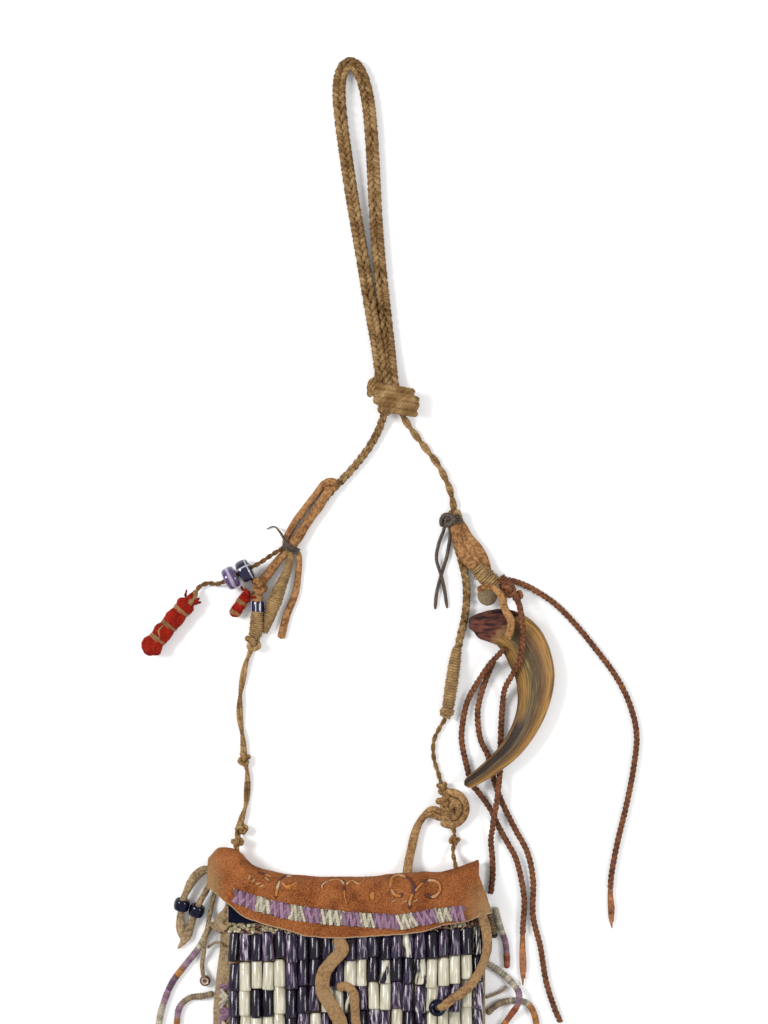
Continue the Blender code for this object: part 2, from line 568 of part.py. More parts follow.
def flap_section(x, top_y, depth, lower_y, back_y):
    """One section of the flap, from its back leg round the roll to its lower edge."""
    height = flap_top(x)
    roll_y = top_y - ROLL_REACH
    section = [] if back_y is None else [Vector((x, min(back_y, roll_y - MM), depth))]
    for step in range(ROLL_STEPS + 1):
        angle = math.pi * (step / ROLL_STEPS - 0.5)
        section.append(Vector((x, roll_y + (ROLL_REACH - depth) * math.cos(angle),
                               height / 2 + (height / 2 - depth) * math.sin(angle))))
    lean_from, lean_to = FLAP_LEAN_SPAN
    lean = FLAP_END_LEAN * max(0.0, (x / HALF_WIDTH - lean_from) / (lean_to - lean_from))
    for k in (1, 2, 3):
        leaning_x = x + lean * k / 3
        section.append(Vector((leaning_x, roll_y + (lower_y - roll_y) * k / 3,
                               flap_top(leaning_x) - depth)))
    return section


def make_flap():
    """The suede flap and the navy wool that lines its roll."""
    shares = [p[0] for p in FLAP_TOP_EDGE]
    stations = sorted(shares + [(a + b) / 2 for a, b in zip(shares[5:], shares[6:])])
    outer = []
    for share in stations:
        lower = BACK_TOP + between(FLAP_LOWER_EDGE, share) * MM
        back = max(BACK_TOP + CLEARANCE, lower)
        top = BACK_TOP + between(FLAP_TOP_EDGE, share) * MM
        outer.append(flap_section(share * HALF_WIDTH, top, 0.0, lower, back))
    sheet("flap", outer, FLAP_THICKNESS, SUEDE, POUCH, -1.0)
    first, last = LINING_SPAN
    inner = []
    for share in [first] + [s for s in stations if first < s < last] + [last]:
        x = share * HALF_WIDTH
        lower = BACK_TOP + LINING_LOWER + ROW_SLOPE * x
        near = (share - LINING_SLACK, share, share + LINING_SLACK)
        top = BACK_TOP + min(between(FLAP_TOP_EDGE, place) for place in near) * MM
        inner.append(flap_section(x, top, FLAP_THICKNESS + CLEARANCE, lower, None))
    sheet("flap_lining", inner, LINING_THICKNESS, NAVY_WOOL, POUCH, -1.0)


def make_quill_band():
    """The folded quill band along the flap's lower edge, its sides toothed as the folds are."""
    rows = ([], [])
    first, last = QUILL_BAND_LINE[0][0], QUILL_BAND_LINE[-1][0]
    for i in range(2 * QUILL_TEETH + 1):
        share = first + (last - first) * i / (2 * QUILL_TEETH)
        x = share * HALF_WIDTH
        middle = BACK_TOP + between(QUILL_BAND_LINE, share) * MM
        half = QUILL_BAND_WIDTH / 2 - QUILL_TOOTH_DEPTH * (i % 2)
        for row, side in zip(rows, (-1, 1)):
            row.append(Vector((x, middle + side * half, flap_top(x) + CLEARANCE)))
    sheet("quill_band", rows, QUILL_BAND_THICKNESS, QUILL, POUCH, 1.0)


def make_bead_rows():
    for row in range(ROWS):
        lobed_strip(f"bead_row_{row + 1:02d}", BEADS_LEFT, BEAD_PITCH, BEAD_DIAMETER, COLUMNS,
                    BEADS_TOP - row * ROW_PITCH, BEAD_LENGTH, 4, PURPLE_SHELL)
    small = 2 * COLUMNS
    lobed_strip("edge_beading", BEADS_LEFT, COLUMNS * BEAD_PITCH / small, EDGING_DIAMETER, small,
                BEADS_TOP + CLEARANCE + EDGING_HEIGHT, EDGING_HEIGHT, 2, SEED_BEADS)


def make_front_ties():
    """Flat thongs that lie on the beads, and the glass bead at the end of the side one."""
    strap("flap_tie", over_beads(FLAP_STRAP, FLAP_STRAP_WIDTH), FLAP_STRAP_WIDTH, TAN_THONG, POUCH)
    strap("front_tie", over_beads(FRONT_STRAP, FRONT_STRAP_WIDTH), FRONT_STRAP_WIDTH, TAN_THONG,
          POUCH)
    strap("side_tie", over_beads(SIDE_STRAP, SIDE_STRAP_WIDTH), SIDE_STRAP_WIDTH, TAN_THONG, POUCH)
    end_x, end_y = SIDE_STRAP[-1]
    x = end_x - (NAVY_BEAD[0] / 2 + STRAP_THICKNESS / 2 + CLEARANCE) / MM + SIDE_BEAD_OVERLAP
    height = bead_top(x * MM - NAVY_BEAD[0] / 2) + CLEARANCE + NAVY_BEAD[1] / 2
    centre = (x, end_y - SIDE_BEAD_DROP, height / MM)
    threaded_bead("side_tie_bead", NAVY_BEAD, TIE_THONG, centre, FACE_UP, NAVY_GLASS, POUCH)


def make_side_fringes():
    """Thongs at the pouch's sides: a tie with two glass beads, a beaded strip and quilled fringes."""
    cord("left_tie", LEFT_TIE, TIE_THONG, TAN_THONG, POUCH)
    hole = TIE_THONG + 2 * THREAD_CLEARANCE
    threaded_bead("left_tie_bead_outer", NAVY_BEAD, hole, LEFT_OUTER_PLACE, LEFT_OUTER_WAY,
                  NAVY_GLASS, POUCH)
    threaded_bead("left_tie_bead_inner", NAVY_BEAD, hole, LEFT_INNER_PLACE, LEFT_INNER_WAY,
                  NAVY_GLASS, POUCH)
    cord("bead_strip", BEAD_STRIP, BEAD_STRIP_WIDTH, TAN_THONG, POUCH)
    threaded_bead("ringed_bead", RINGED_BEAD, RINGED_BEAD_HOLE, RINGED_PLACE, FACE_UP,
                  RED_GLASS, POUCH)
    cord("fringe_left_upper", FRINGE_LEFT_UPPER, QUILLED_FRINGE, QUILL, POUCH)
    cord("fringe_left_lower", FRINGE_LEFT_LOWER, QUILLED_FRINGE, QUILL, POUCH)
    cord("fringe_right_upper", FRINGE_RIGHT_UPPER, QUILLED_FRINGE, QUILL, POUCH)
    cord("fringe_right_middle", FRINGE_RIGHT_MIDDLE, QUILLED_FRINGE, QUILL, POUCH)
    cord("fringe_right_lower", FRINGE_RIGHT_LOWER, QUILLED_FRINGE, QUILL, POUCH)
    cord("side_tube", SIDE_TUBE, SIDE_TUBE_DIAMETER, CREAM_THREAD, POUCH)


def make_hanging_loop():
    loop = cord("hanging_loop", HANGING_LOOP, BRAIDED_FIBRE, FIBRE, None, LOOP_SPACING)
    knotted(loop, (LOOP_KNOT_BAND, LOOP_KNOT_CROWN))


def make_left_strand():
    """The left suspension: cord, hitched thong, sinew tie and what is tied in with it."""
    cord("left_cord_upper", LEFT_CORD_UPPER, SUSPENSION_CORD, FIBRE, LEFT_STRAND)
    cord("left_hitch", LEFT_HITCH, ROUND_THONG, TAN_THONG, LEFT_STRAND)
    curl = cord("sinew_tie", SINEW_CURL, CURL_SINEW, DARK_SINEW, LEFT_STRAND)
    knotted(curl, (SINEW_TIE,))
    tapered("wrapped_bundle", WRAPPED_BUNDLE, WRAPPED_BUNDLE_HALF, CREAM_THREAD, LEFT_STRAND)
    tail = smooth_points(THONG_TAIL, 0.0, 1.5 * TAIL_WIDTH)
    strap("thong_tail", tail, TAIL_WIDTH, TAN_THONG, LEFT_STRAND)
    thong = cord("knotted_thong", KNOTTED_THONG, ROUND_THONG, TAN_THONG, LEFT_STRAND)
    knotted(thong, (THONG_KNOT_LUMP,))
    threaded_bead("striped_bead", STRIPED_BEAD, ROUND_THONG + 2 * THREAD_CLEARANCE,
                  STRIPED_PLACE, UP_THE_BAG, NAVY_GLASS, LEFT_STRAND)
    tapered("left_whipping", LEFT_WHIPPING, LEFT_WHIPPING_HALF, CREAM_THREAD, LEFT_STRAND)
    lower = cord("left_cord_lower", LEFT_CORD_LOWER, TWO_PLY_CORD, FIBRE, LEFT_STRAND)
    knotted(lower, LEFT_KNOTS)
    tapered("small_red_bundle", SMALL_RED_BUNDLE, SMALL_RED_HALF, RED_WOOL, LEFT_STRAND)


def make_pendant():
    """The pendant cord with its two large beads and the long bundle of red wool."""
    cord("pendant_cord", PENDANT_CORD, PENDANT_TWIST, FIBRE, LEFT_STRAND)
    hole = PENDANT_TWIST + 2 * THREAD_CLEARANCE
    threaded_bead("navy_bead", LARGE_BEAD, hole, NAVY_PLACE, PENDANT_WAY, NAVY_GLASS, LEFT_STRAND)
    threaded_bead("lavender_bead", LARGE_BEAD, hole, LAVENDER_PLACE, PENDANT_WAY, LAVENDER_GLASS,
                  LEFT_STRAND)
    tapered("long_red_bundle", LONG_RED_BUNDLE, LONG_RED_HALF, RED_WOOL, LEFT_STRAND)


def make_right_strand():
    """The right suspension: cords, whipped pieces and the knotted thong near the flap."""
    upper = cord("right_cord_upper", RIGHT_CORD_UPPER, TWISTED_CORD, FIBRE, RIGHT_STRAND)
    knotted(upper, (RIGHT_KNOT,))
    cord("dark_thong", DARK_THONG, SINEW, DARK_SINEW, RIGHT_STRAND)
    cord("right_thong", RIGHT_THONG, ROUND_THONG, TAN_THONG, RIGHT_STRAND)
    tapered("right_whipping", RIGHT_WHIPPING, RIGHT_WHIPPING_HALF, CREAM_THREAD, RIGHT_STRAND)
    cord("right_cord_middle", RIGHT_CORD_MIDDLE, SUSPENSION_CORD, FIBRE, RIGHT_STRAND)
    tapered("whipped_stick", WHIPPED_STICK, WHIPPED_STICK_HALF, CREAM_THREAD, RIGHT_STRAND)
    lower = cord("right_cord_lower", RIGHT_CORD_LOWER, TWO_PLY_CORD, FIBRE, RIGHT_STRAND)
    knotted(lower, RIGHT_KNOTS)
    thong = cord("thong_knot", KNOT_THONG, ROUND_THONG, TAN_THONG, RIGHT_STRAND)
    knotted(thong, (TIED_KNOT,))


def make_claw_and_braids():
    """The claw, the thong that lashes it and four braids of red-brown leather."""
    cord("curled_thong", CURLED_THONG, ROUND_THONG, TAN_THONG, RIGHT_STRAND)
    tapered("claw", CLAW_AXIS, CLAW_HALF_WIDTH, CLAW_HORN, RIGHT_STRAND, CLAW_FLATNESS, 12, 2)
    for number, route in enumerate(BRAID_ROUTES, 1):
        cord(f"braid_{number}", route, LEATHER_BRAID, RED_BROWN, RIGHT_STRAND)


make_back_panel()
make_front_panel()
make_flap()
make_quill_band()
make_bead_rows()
make_front_ties()
make_side_fringes()
make_hanging_loop()
make_left_strand()
make_pendant()
make_right_strand()
make_claw_and_braids()
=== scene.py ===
import math

import bpy
import numpy as np
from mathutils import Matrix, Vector, geometry, noise


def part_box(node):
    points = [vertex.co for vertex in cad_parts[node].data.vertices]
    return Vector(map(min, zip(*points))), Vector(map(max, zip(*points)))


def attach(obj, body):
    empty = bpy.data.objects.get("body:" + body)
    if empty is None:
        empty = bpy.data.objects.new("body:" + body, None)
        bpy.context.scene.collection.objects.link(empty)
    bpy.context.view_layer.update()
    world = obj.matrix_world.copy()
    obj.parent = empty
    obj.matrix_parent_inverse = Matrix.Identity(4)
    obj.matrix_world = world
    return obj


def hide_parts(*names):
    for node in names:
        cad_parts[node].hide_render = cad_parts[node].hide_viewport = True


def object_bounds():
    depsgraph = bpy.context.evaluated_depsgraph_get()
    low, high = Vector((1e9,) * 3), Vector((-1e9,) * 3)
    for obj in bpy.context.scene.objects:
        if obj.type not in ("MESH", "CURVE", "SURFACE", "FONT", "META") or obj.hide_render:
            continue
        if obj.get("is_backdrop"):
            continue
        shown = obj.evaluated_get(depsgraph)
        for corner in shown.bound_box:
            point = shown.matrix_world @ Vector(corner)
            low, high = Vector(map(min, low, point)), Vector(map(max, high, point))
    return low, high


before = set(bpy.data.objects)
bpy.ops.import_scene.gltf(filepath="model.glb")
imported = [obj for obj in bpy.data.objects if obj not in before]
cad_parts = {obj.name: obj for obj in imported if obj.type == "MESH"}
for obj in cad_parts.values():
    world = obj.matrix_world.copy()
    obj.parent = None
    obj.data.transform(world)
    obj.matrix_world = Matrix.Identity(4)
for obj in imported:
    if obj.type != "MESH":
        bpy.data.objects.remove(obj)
cad_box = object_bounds()
scene = bpy.context.scene
MM = 0.001

# The camera. The bag lies on its back and is seen from straight above, as on a copy stand, and the
# picture ends partway down the pouch.
VIEW_CENTRE = (11.9, 188.0)
VIEW_HEIGHT = 830
lens = bpy.data.cameras.new("camera")
lens.lens = 85
lens.clip_start = 0.05
camera = bpy.data.objects.new("camera", lens)
camera.location = (VIEW_CENTRE[0] * MM, VIEW_CENTRE[1] * MM, VIEW_HEIGHT * MM)
scene.collection.objects.link(camera)
scene.camera = camera
scene.view_settings.view_transform = "Standard"


# The back. One flat piece of brain-tanned buckskin, grey-tan and napped, cut with rounded lower
# corners. The front, the flap and the cords are all sewn to it.
class Socket:
    """One output in a node tree. Arithmetic on it adds the Math nodes that work it out."""

    def __init__(self, tree, link):
        self.tree = tree
        self.link = link

    def node(self, kind, settings=None, sources=None, output=0):
        """Another node of this tree: its settings, then the values or links of its sockets."""
        made = self.tree.nodes.new(kind)
        for name, setting in (settings or {}).items():
            if name == "stops":
                ramp = made.color_ramp
                while len(ramp.elements) < len(setting):
                    ramp.elements.new(0.5)
                for element, (position, colour) in zip(ramp.elements, setting):
                    element.position = position
                    element.color = colour
            else:
                setattr(made, name, setting)
        for name, source in (sources or {}).items():
            if isinstance(source, Socket):
                self.tree.links.new(source.link, made.inputs[name])
            else:
                made.inputs[name].default_value = source
        return Socket(self.tree, made.outputs[output])

    def maths(self, operation, first, second=0.0):
        return self.node("ShaderNodeMath", {"operation": operation}, {0: first, 1: second})

    def __add__(self, other):
        return self.maths("ADD", self, other)

    __radd__ = __add__

    def __sub__(self, other):
        return self.maths("SUBTRACT", self, other)

    def __rsub__(self, other):
        return self.maths("SUBTRACT", other, self)

    def __mul__(self, other):
        return self.maths("MULTIPLY", self, other)

    __rmul__ = __mul__

    def __truediv__(self, other):
        return self.maths("DIVIDE", self, other)

    def absolute(self):
        return self.maths("ABSOLUTE", self)

    def sine(self):
        return self.maths("SINE", self)

    def vector(self, operation, second=(0, 0, 0), scale=1.0, output=0):
        return self.node("ShaderNodeVectorMath", {"operation": operation},
                         {0: self, 1: second, 3: scale}, output)

    def part(self, number):
        """One of the three numbers of this vector."""
        return self.node("ShaderNodeSeparateXYZ", None, {"Vector": self}, number)

    def step(self, low, high):
        """0 below low and 1 above high, smoothly in between."""
        return self.node("ShaderNodeMapRange", {"interpolation_type": "SMOOTHSTEP"},
                         {0: self, 1: low, 2: high})

    def blend(self, first, second):
        """The first colour where this mask is 0, and the second where it is 1."""
        return self.node("ShaderNodeMix", {"data_type": "RGBA", "clamp_factor": True},
                         {0: self, 6: first, 7: second}, 2)

    def dyed_and_shaded(self, dye):
        """This colour multiplied by another, which holds dyes and painted shade."""
        return self.node("ShaderNodeMix", {"data_type": "RGBA", "blend_type": "MULTIPLY"},
                         {0: 1.0, 6: self, 7: dye}, 2)

    def ramp(self, stops):
        """The colour that this value has between stops of (value, colour)."""
        return self.node("ShaderNodeValToRGB", {"stops": stops}, {"Fac": self})


STUDIO_LIGHT = 0.6
GAMMA = 2.2


def hue(red, green, blue):
    """A colour read from 0 to 255, made linear and dimmed to suit the studio's light."""
    return (*(STUDIO_LIGHT * (c / 255) ** GAMMA for c in (red, green, blue)), 1.0)


def dye_of(red, green, blue):
    """The same colour as three numbers, to keep at each point of a mesh."""
    return hue(red, green, blue)[:3]


def new_finish(name, roughness, **fixed):
    """A material, its shader, and the object's own coordinates to build patterns on."""
    made = bpy.data.materials.new(name)
    made.use_nodes = True
    shader = made.node_tree.nodes["Principled BSDF"]
    for socket, value in {"Roughness": roughness, **fixed}.items():
        shader.inputs[socket.replace("_", " ")].default_value = value
    place = Socket(made.node_tree, None).node("ShaderNodeTexCoord", output="Object")
    return made, shader, place


def cloudy(place, size, detail=3.0, stretch=None):
    """Soft random patches about as wide as size, pulled out along an axis where stretch is small."""
    if stretch:
        place = place.vector("MULTIPLY", stretch)
    return place.node("ShaderNodeTexNoise", None, {"Vector": place, "Scale": 1 / size, "Detail": detail})


def own(place, name, output="Vector"):
    """What the mesh itself says at each of its points."""
    return place.node("ShaderNodeAttribute", {"attribute_name": name}, None, output)


def feed(shader, socket, value):
    """Let a worked-out value drive one socket of the shader."""
    shader.id_data.links.new(value.link, shader.inputs[socket])


def raised(shader, height, depth):
    """A fine relief in the surface, as deep as given."""
    feed(shader, "Normal", height.node("ShaderNodeBump", None, {"Height": height, "Distance": depth}))


def hide(name, dark, light, scuffed, nap_size=0.6 * MM):
    """Brain-tanned hide: matte, grainy with nap, mottled, and greyer where it is scuffed."""
    made, shader, place = new_finish(name, 0.95, Specular_IOR_Level=0.12)
    nap = cloudy(place, nap_size, 4.0)
    patches = cloudy(place, 7 * MM, 5.0)
    tone = nap.step(0.36, 0.64) * 0.62 + patches.step(0.3, 0.7) * 0.42
    scuff = own(place, "scuff", "Fac") * (nap.step(0.2, 0.75) * 0.7 + 0.5)
    worn = scuff.blend(tone.blend(dark, light), scuffed)
    feed(shader, "Base Color", own(place, "rim", "Fac").blend(worn, hue(226, 198, 162)))
    raised(shader, nap + patches * 0.6, 0.5 * MM)
    return made


def edge_of_hide(name, colour):
    """The cut edge of a hide, paler and smoother than its face."""
    made, shader, place = new_finish(name, 0.85, Specular_IOR_Level=0.15)
    grain = cloudy(place, 0.5 * MM)
    feed(shader, "Base Color", grain.blend(colour, tuple(0.55 * c for c in colour[:3]) + (1.0,)))
    raised(shader, grain, 0.15 * MM)
    return made


def surface(rows):
    """Smooth-shaded mesh data for a sheet through rows of points."""
    rows = np.asarray(rows, float)
    count, across = rows.shape[:2]
    data = bpy.data.meshes.new("surface")
    index = np.arange(count * across).reshape(count, across)
    quads = np.stack([index[:-1, :-1], index[:-1, 1:], index[1:, 1:], index[1:, :-1]], -1)
    data.from_pydata(rows.reshape(-1, 3).tolist(), [], quads.reshape(-1, 4).tolist())
    data.shade_smooth()
    return data


def mark(data, name, values):
    """Keep a number, or three, at each point of a mesh, for its material to read."""
    values = np.asarray(values, np.float32)
    kind, field = ("FLOAT", "value") if values.ndim == 1 else ("FLOAT_VECTOR", "vector")
    data.attributes.new(name, kind, "POINT").data.foreach_set(field, values.ravel())


def swells(points, size, seed=0.0):
    """Smooth random heights between -1 and 1 at points, with swells about as wide as size."""
    shift = Vector((seed, 2.3 * seed, -seed))
    flat = [noise.noise(Vector(p) / size + shift) for p in np.asarray(points).reshape(-1, 3)]
    return np.array(flat).reshape(np.asarray(points).shape[:-1])


def corners_of(data):
    return np.array([v.co for v in data.vertices])


def pushed(data, heights):
    """Move the points of a surface in and out along their normals."""
    normals = np.array([v.vector for v in data.vertex_normals])
    data.vertices.foreach_set("co", (corners_of(data) + normals * heights[:, None]).ravel())


def roughened(data, size, height, seed=0.0):
    """Give a surface smooth bumps about as wide as size."""
    pushed(data, height * swells(corners_of(data), size, seed))
    data.update()


def dressed(name, data, finishes, slot, *stands_for):
    """One finished piece of the bag, which rides with it and stands for the plain solids."""
    for finish in finishes:
        data.materials.append(finish)
    piece = bpy.data.objects.new(name, data)
    scene.collection.objects.link(piece)
    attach(piece, "root")
    if stands_for:
        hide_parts(*stands_for)
    return piece


def thickened(piece, thickness, offset, even=True):
    """Give a sheet its real thickness, with the cut edge in the piece's second finish."""
    solid = piece.modifiers.new("thickness", "SOLIDIFY")
    solid.thickness = thickness
    solid.offset = offset
    solid.use_even_offset = even
    solid.material_offset_rim = 1
    return piece


back_low, back_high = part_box("back_panel")
HALF_WIDTH = back_high.x
BACK_TOP = back_high.y
BACK_BOTTOM = back_low.y
BACK_THICKNESS = back_high.z
CORNER_RADIUS = 6.0 * MM
CLEARANCE = 0.3 * MM
LEFT_PULL = ((18, 0.0), (30, 1.2), (37, 2.3), (45, 2.7), (49, 3.2), (53, 4.8), (58, 6.0))


def corner_inset(y):
    """How far the rounded lower corners pull the side edges in."""
    below = np.clip(BACK_BOTTOM + CORNER_RADIUS - y, 0, CORNER_RADIUS)
    return CORNER_RADIUS - np.sqrt(CORNER_RADIUS ** 2 - below ** 2)


def left_pull(y):
    """How far wear has drawn the left edge in, more towards the mouth."""
    heights, pulls = np.array(LEFT_PULL).T
    return np.interp(np.asarray(y) / MM, heights, pulls) * MM


buckskin = hide("buckskin", hue(118, 94, 64), hue(204, 174, 132), hue(176, 154, 124), 0.8 * MM)
buckskin_edge = edge_of_hide("buckskin_edge", hue(190, 168, 130))
down = BACK_TOP + (BACK_BOTTOM - BACK_TOP) * np.linspace(0, 1, 80)
share = np.linspace(-1, 1, 74)
wander = swells(np.stack([0 * down, down, 0 * down], -1), 7 * MM, 3.0) * 0.35 * MM
x = share * (HALF_WIDTH - corner_inset(down))[:, None] + wander[:, None] * share ** 9
x += left_pull(down)[:, None] * np.clip(-share, 0, 1) ** 8
rows = np.stack([x, np.broadcast_to(down[:, None], x.shape), 0 * x], -1)
rows[..., 2] = 0.15 * MM + 0.13 * MM * swells(rows, 14 * MM, 1.0)
back_data = surface(rows)
from_side = 1 - np.abs(np.broadcast_to(share, x.shape))
mark(back_data, "scuff", np.clip(1 - from_side.ravel() * 9, 0, 1) * 0.8)
back = dressed("buckskin_back", back_data, [buckskin, buckskin_edge], "buckskin", "back_panel")
thickened(back, BACK_THICKNESS - 0.25 * MM, -1.0)

# The front. A second piece of the same buckskin, sewn to the back along the sides and the bottom.
# It stays open at the mouth and swells a little between its seams.
SEAM_HEIGHT = BACK_THICKNESS + CLEARANCE
POUCH_SWELL = 7.0 * MM
FRONT_THICKNESS = 1.0 * MM
BOTTOM_MARGIN = 6.9 * MM
PUCKER_SPACING = 3.1 * MM
PUCKER_DEPTH = 0.22 * MM
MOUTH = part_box("front_panel")[1].y


def swell(x):
    """How far the front bulges, as a share of its swell: 1 in the middle and 0 at the seams."""
    return 1 - np.clip(np.abs(x) / HALF_WIDTH, 0, 1) ** 4


def slope_factor(x):
    """How much higher than its thickness a layer stands where the front slopes."""
    slope = POUCH_SWELL * 4 * np.clip(np.abs(x) / HALF_WIDTH, 0, 1) ** 3 / HALF_WIDTH
    return np.sqrt(1 + slope ** 2)


def panel_top(x):
    """Height of the front's outer face."""
    return SEAM_HEIGHT + POUCH_SWELL * swell(x) + FRONT_THICKNESS * slope_factor(x)


up = BACK_BOTTOM + (MOUTH - BACK_BOTTOM) * np.linspace(0, 1, 96) ** 1.25
rise = np.sin(math.pi / 2 * np.clip((up - BACK_BOTTOM) / BOTTOM_MARGIN, 0, 1))
share = np.sin(math.pi / 2 * np.linspace(-1, 1, 84))
x = share * (HALF_WIDTH - corner_inset(up))[:, None]
x += left_pull(up)[:, None] * np.clip(-share, 0, 1) ** 8
rows = np.stack([x, np.broadcast_to(up[:, None], x.shape), 0 * x], -1)
pucker = PUCKER_DEPTH * np.sin(math.tau * up / PUCKER_SPACING)[:, None] * np.abs(share) ** 12
rows[..., 2] = SEAM_HEIGHT + POUCH_SWELL * swell(share * HALF_WIDTH) * rise[:, None] + pucker
front_data = surface(rows)
mark(front_data, "scuff", (np.abs(np.broadcast_to(share, x.shape)) ** 8).ravel() * 0.7)
front = dressed("buckskin_front", front_data, [buckskin, buckskin_edge], "buckskin", "front_panel")
thickened(front, FRONT_THICKNESS, 1.0)

# The seam. Split sinew whipped over the edges of both hides, a stitch every three millimetres, down
# one side, round the bottom and up the other.
STITCH_SPACING = 3.1 * MM
STITCH_RADIUS = 1.35 * MM
SEAM_INSET = 0.9 * MM
SINEW_RADIUS = 0.28 * MM


def new_tree(name, inputs):
    """An empty tree of geometry nodes with its named inputs, which come back as sockets."""
    tree = bpy.data.node_groups.new(name, "GeometryNodeTree")
    for label, kind in {"Geometry": "Geometry", **inputs}.items():
        tree.interface.new_socket(label, in_out="INPUT", socket_type="NodeSocket" + kind)
    tree.interface.new_socket("Geometry", in_out="OUTPUT", socket_type="NodeSocketGeometry")
    entry = tree.nodes.new("NodeGroupInput")
    return tree, {s.name: Socket(tree, s) for s in entry.outputs if s.name}


def closed_tree(tree, shape, finish):
    """End a tree with real, smooth geometry in its finish."""
    real = shape.node("GeometryNodeRealizeInstances", None, {"Geometry": shape})
    smooth = real.node("GeometryNodeSetShadeSmooth", None, {"Geometry": real, "Shade Smooth": True})
    painted = smooth.node("GeometryNodeSetMaterial", None, {"Geometry": smooth, "Material": finish})
    tree.links.new(painted.link, tree.nodes.new("NodeGroupOutput").inputs[0])
    return tree


def grown(tree, base, values):
    """The plain mesh that a tree makes from base data with these values at its named inputs."""
    carrier = bpy.data.objects.new("carrier", base)
    scene.collection.objects.link(carrier)
    made = carrier.modifiers.new("grown", "NODES")
    made.node_group = tree
    for item in tree.interface.items_tree:
        if item.in_out == "INPUT" and item.name in values:
            made[item.identifier] = values[item.name]
    bpy.context.view_layer.update()
    evaluated = carrier.evaluated_get(bpy.context.evaluated_depsgraph_get())
    data = bpy.data.meshes.new_from_object(evaluated)
    bpy.data.objects.remove(carrier)
    return data


def strewn_tree(name, inputs, shape):
    """A tree that sets one shape on every point, turned and sized as the point says, with jitter."""
    tree, given = new_tree(name, {**inputs, "Jitter": "Float", "Seed": "Int", "Finish": "Material"})
    start = given["Geometry"]
    turn, size = (start.node("GeometryNodeInputNamedAttribute", {"data_type": "FLOAT_VECTOR"},
                             {"Name": label}) for label in ("turn", "size"))
    sway = start.node("FunctionNodeRandomValue", {"data_type": "FLOAT_VECTOR"},
                      {0: (-1, -1, -1), 1: (1, 1, 1), "Seed": given["Seed"]})
    turn = turn.vector("ADD", sway.vector("SCALE", scale=given["Jitter"]))
    rotation = turn.node("FunctionNodeEulerToRotation", None, {"Euler": turn})
    placed = start.node("GeometryNodeInstanceOnPoints", None,
                        {"Points": start, "Instance": shape(given), "Rotation": rotation, "Scale": size})
    return closed_tree(tree, placed, given["Finish"])


def bent_stitch(given):
    """A short thread bent over an edge."""
    arc = given["Radius"].node("GeometryNodeCurveArc", None,
                               {"Resolution": 8, "Radius": given["Radius"],
                                "Start Angle": math.radians(-125), "Sweep Angle": math.radians(250)})
    round_thread = arc.node("GeometryNodeCurvePrimitiveCircle", None,
                            {"Resolution": 6, "Radius": given["Thread"]})
    return arc.node("GeometryNodeCurveToMesh", None,
                    {"Curve": arc, "Profile Curve": round_thread, "Fill Caps": True})


def strewn(tree, places, turns, values, sizes=(1, 1, 1), **marks):
    """Mesh data of a tree's shape on all places."""
    base = bpy.data.meshes.new("places")
    base.from_pydata(np.asarray(places).tolist(), [], [])
    mark(base, "turn", np.broadcast_to(turns, (len(places), 3)))
    mark(base, "size", np.broadcast_to(sizes, (len(places), 3)))
    for label, numbers in marks.items():
        mark(base, label, numbers)
    return grown(tree, base, values)


sinew, sinew_shader, sinew_place = new_finish("split_sinew", 0.5)
sinew_streaks = cloudy(sinew_place, 0.8 * MM)
feed(sinew_shader, "Base Color", sinew_streaks.blend(hue(120, 100, 70), hue(215, 195, 150)))
stitch_tree = strewn_tree("seam_stitches", {"Radius": "Float", "Thread": "Float"}, bent_stitch)
side_y = np.arange(BACK_BOTTOM + CORNER_RADIUS, BACK_TOP - 3 * MM, STITCH_SPACING)
bottom_x = np.arange(-HALF_WIDTH + CORNER_RADIUS, HALF_WIDTH - CORNER_RADIUS, STITCH_SPACING)
seam_z = SEAM_HEIGHT - 0.1 * MM
inward = HALF_WIDTH - SEAM_INSET
stitch_places = [(side * inward + left_pull(y) * (side < 0), y, seam_z) for side in (-1, 1) for y in side_y]
stitch_turns = [(math.pi / 2, 0, math.pi * (side < 0)) for side in (-1, 1) for _ in side_y]
stitch_places += [(x, BACK_BOTTOM + SEAM_INSET, seam_z) for x in bottom_x]
stitch_turns += [(math.pi / 2, 0, -math.pi / 2) for _ in bottom_x]
seam_data = strewn(stitch_tree, stitch_places, stitch_turns,
                   {"Radius": STITCH_RADIUS, "Thread": SINEW_RADIUS, "Jitter": 0.2, "Seed": 4,
                    "Finish": sinew})
dressed("seam_stitches", seam_data, [], "buckskin")

# The quill trim of the left seam. Flattened quills, folded round the edge of the hide in blocks of
# ivory and lavender.
IVORY = dye_of(230, 220, 192)
LAVENDER = dye_of(176, 134, 164)
PURPLE_DYE = dye_of(104, 72, 104)
ORANGE = dye_of(214, 136, 48)
RED_DYE = dye_of(186, 88, 46)
OLD_QUILL = dye_of(170, 148, 112)
QUILL_SPACING = 1.3 * MM
TRIM_BLOCK = 5.6 * MM
TRIM_END = 27 * MM

quill, quill_shader, quill_place = new_finish("dyed_quill", 0.5, Specular_IOR_Level=0.3)
fading = cloudy(quill_place, 1.1 * MM, 3.0)
fibre_lines = cloudy(quill_place, 0.35 * MM, 2.0)
# The quills' colour comes from their points, which hold their dyes and, in the quill band, painted shade on
# the lower folds.
worn_quill = (fading.step(0.64, 0.76) * 0.6).blend(own(quill_place, "dye"), hue(196, 176, 146))
feed(quill_shader, "Base Color", (fibre_lines.step(0.62, 0.38) * 0.5).blend(worn_quill, hue(78, 52, 50)))
raised(quill_shader, fibre_lines, 0.12 * MM)


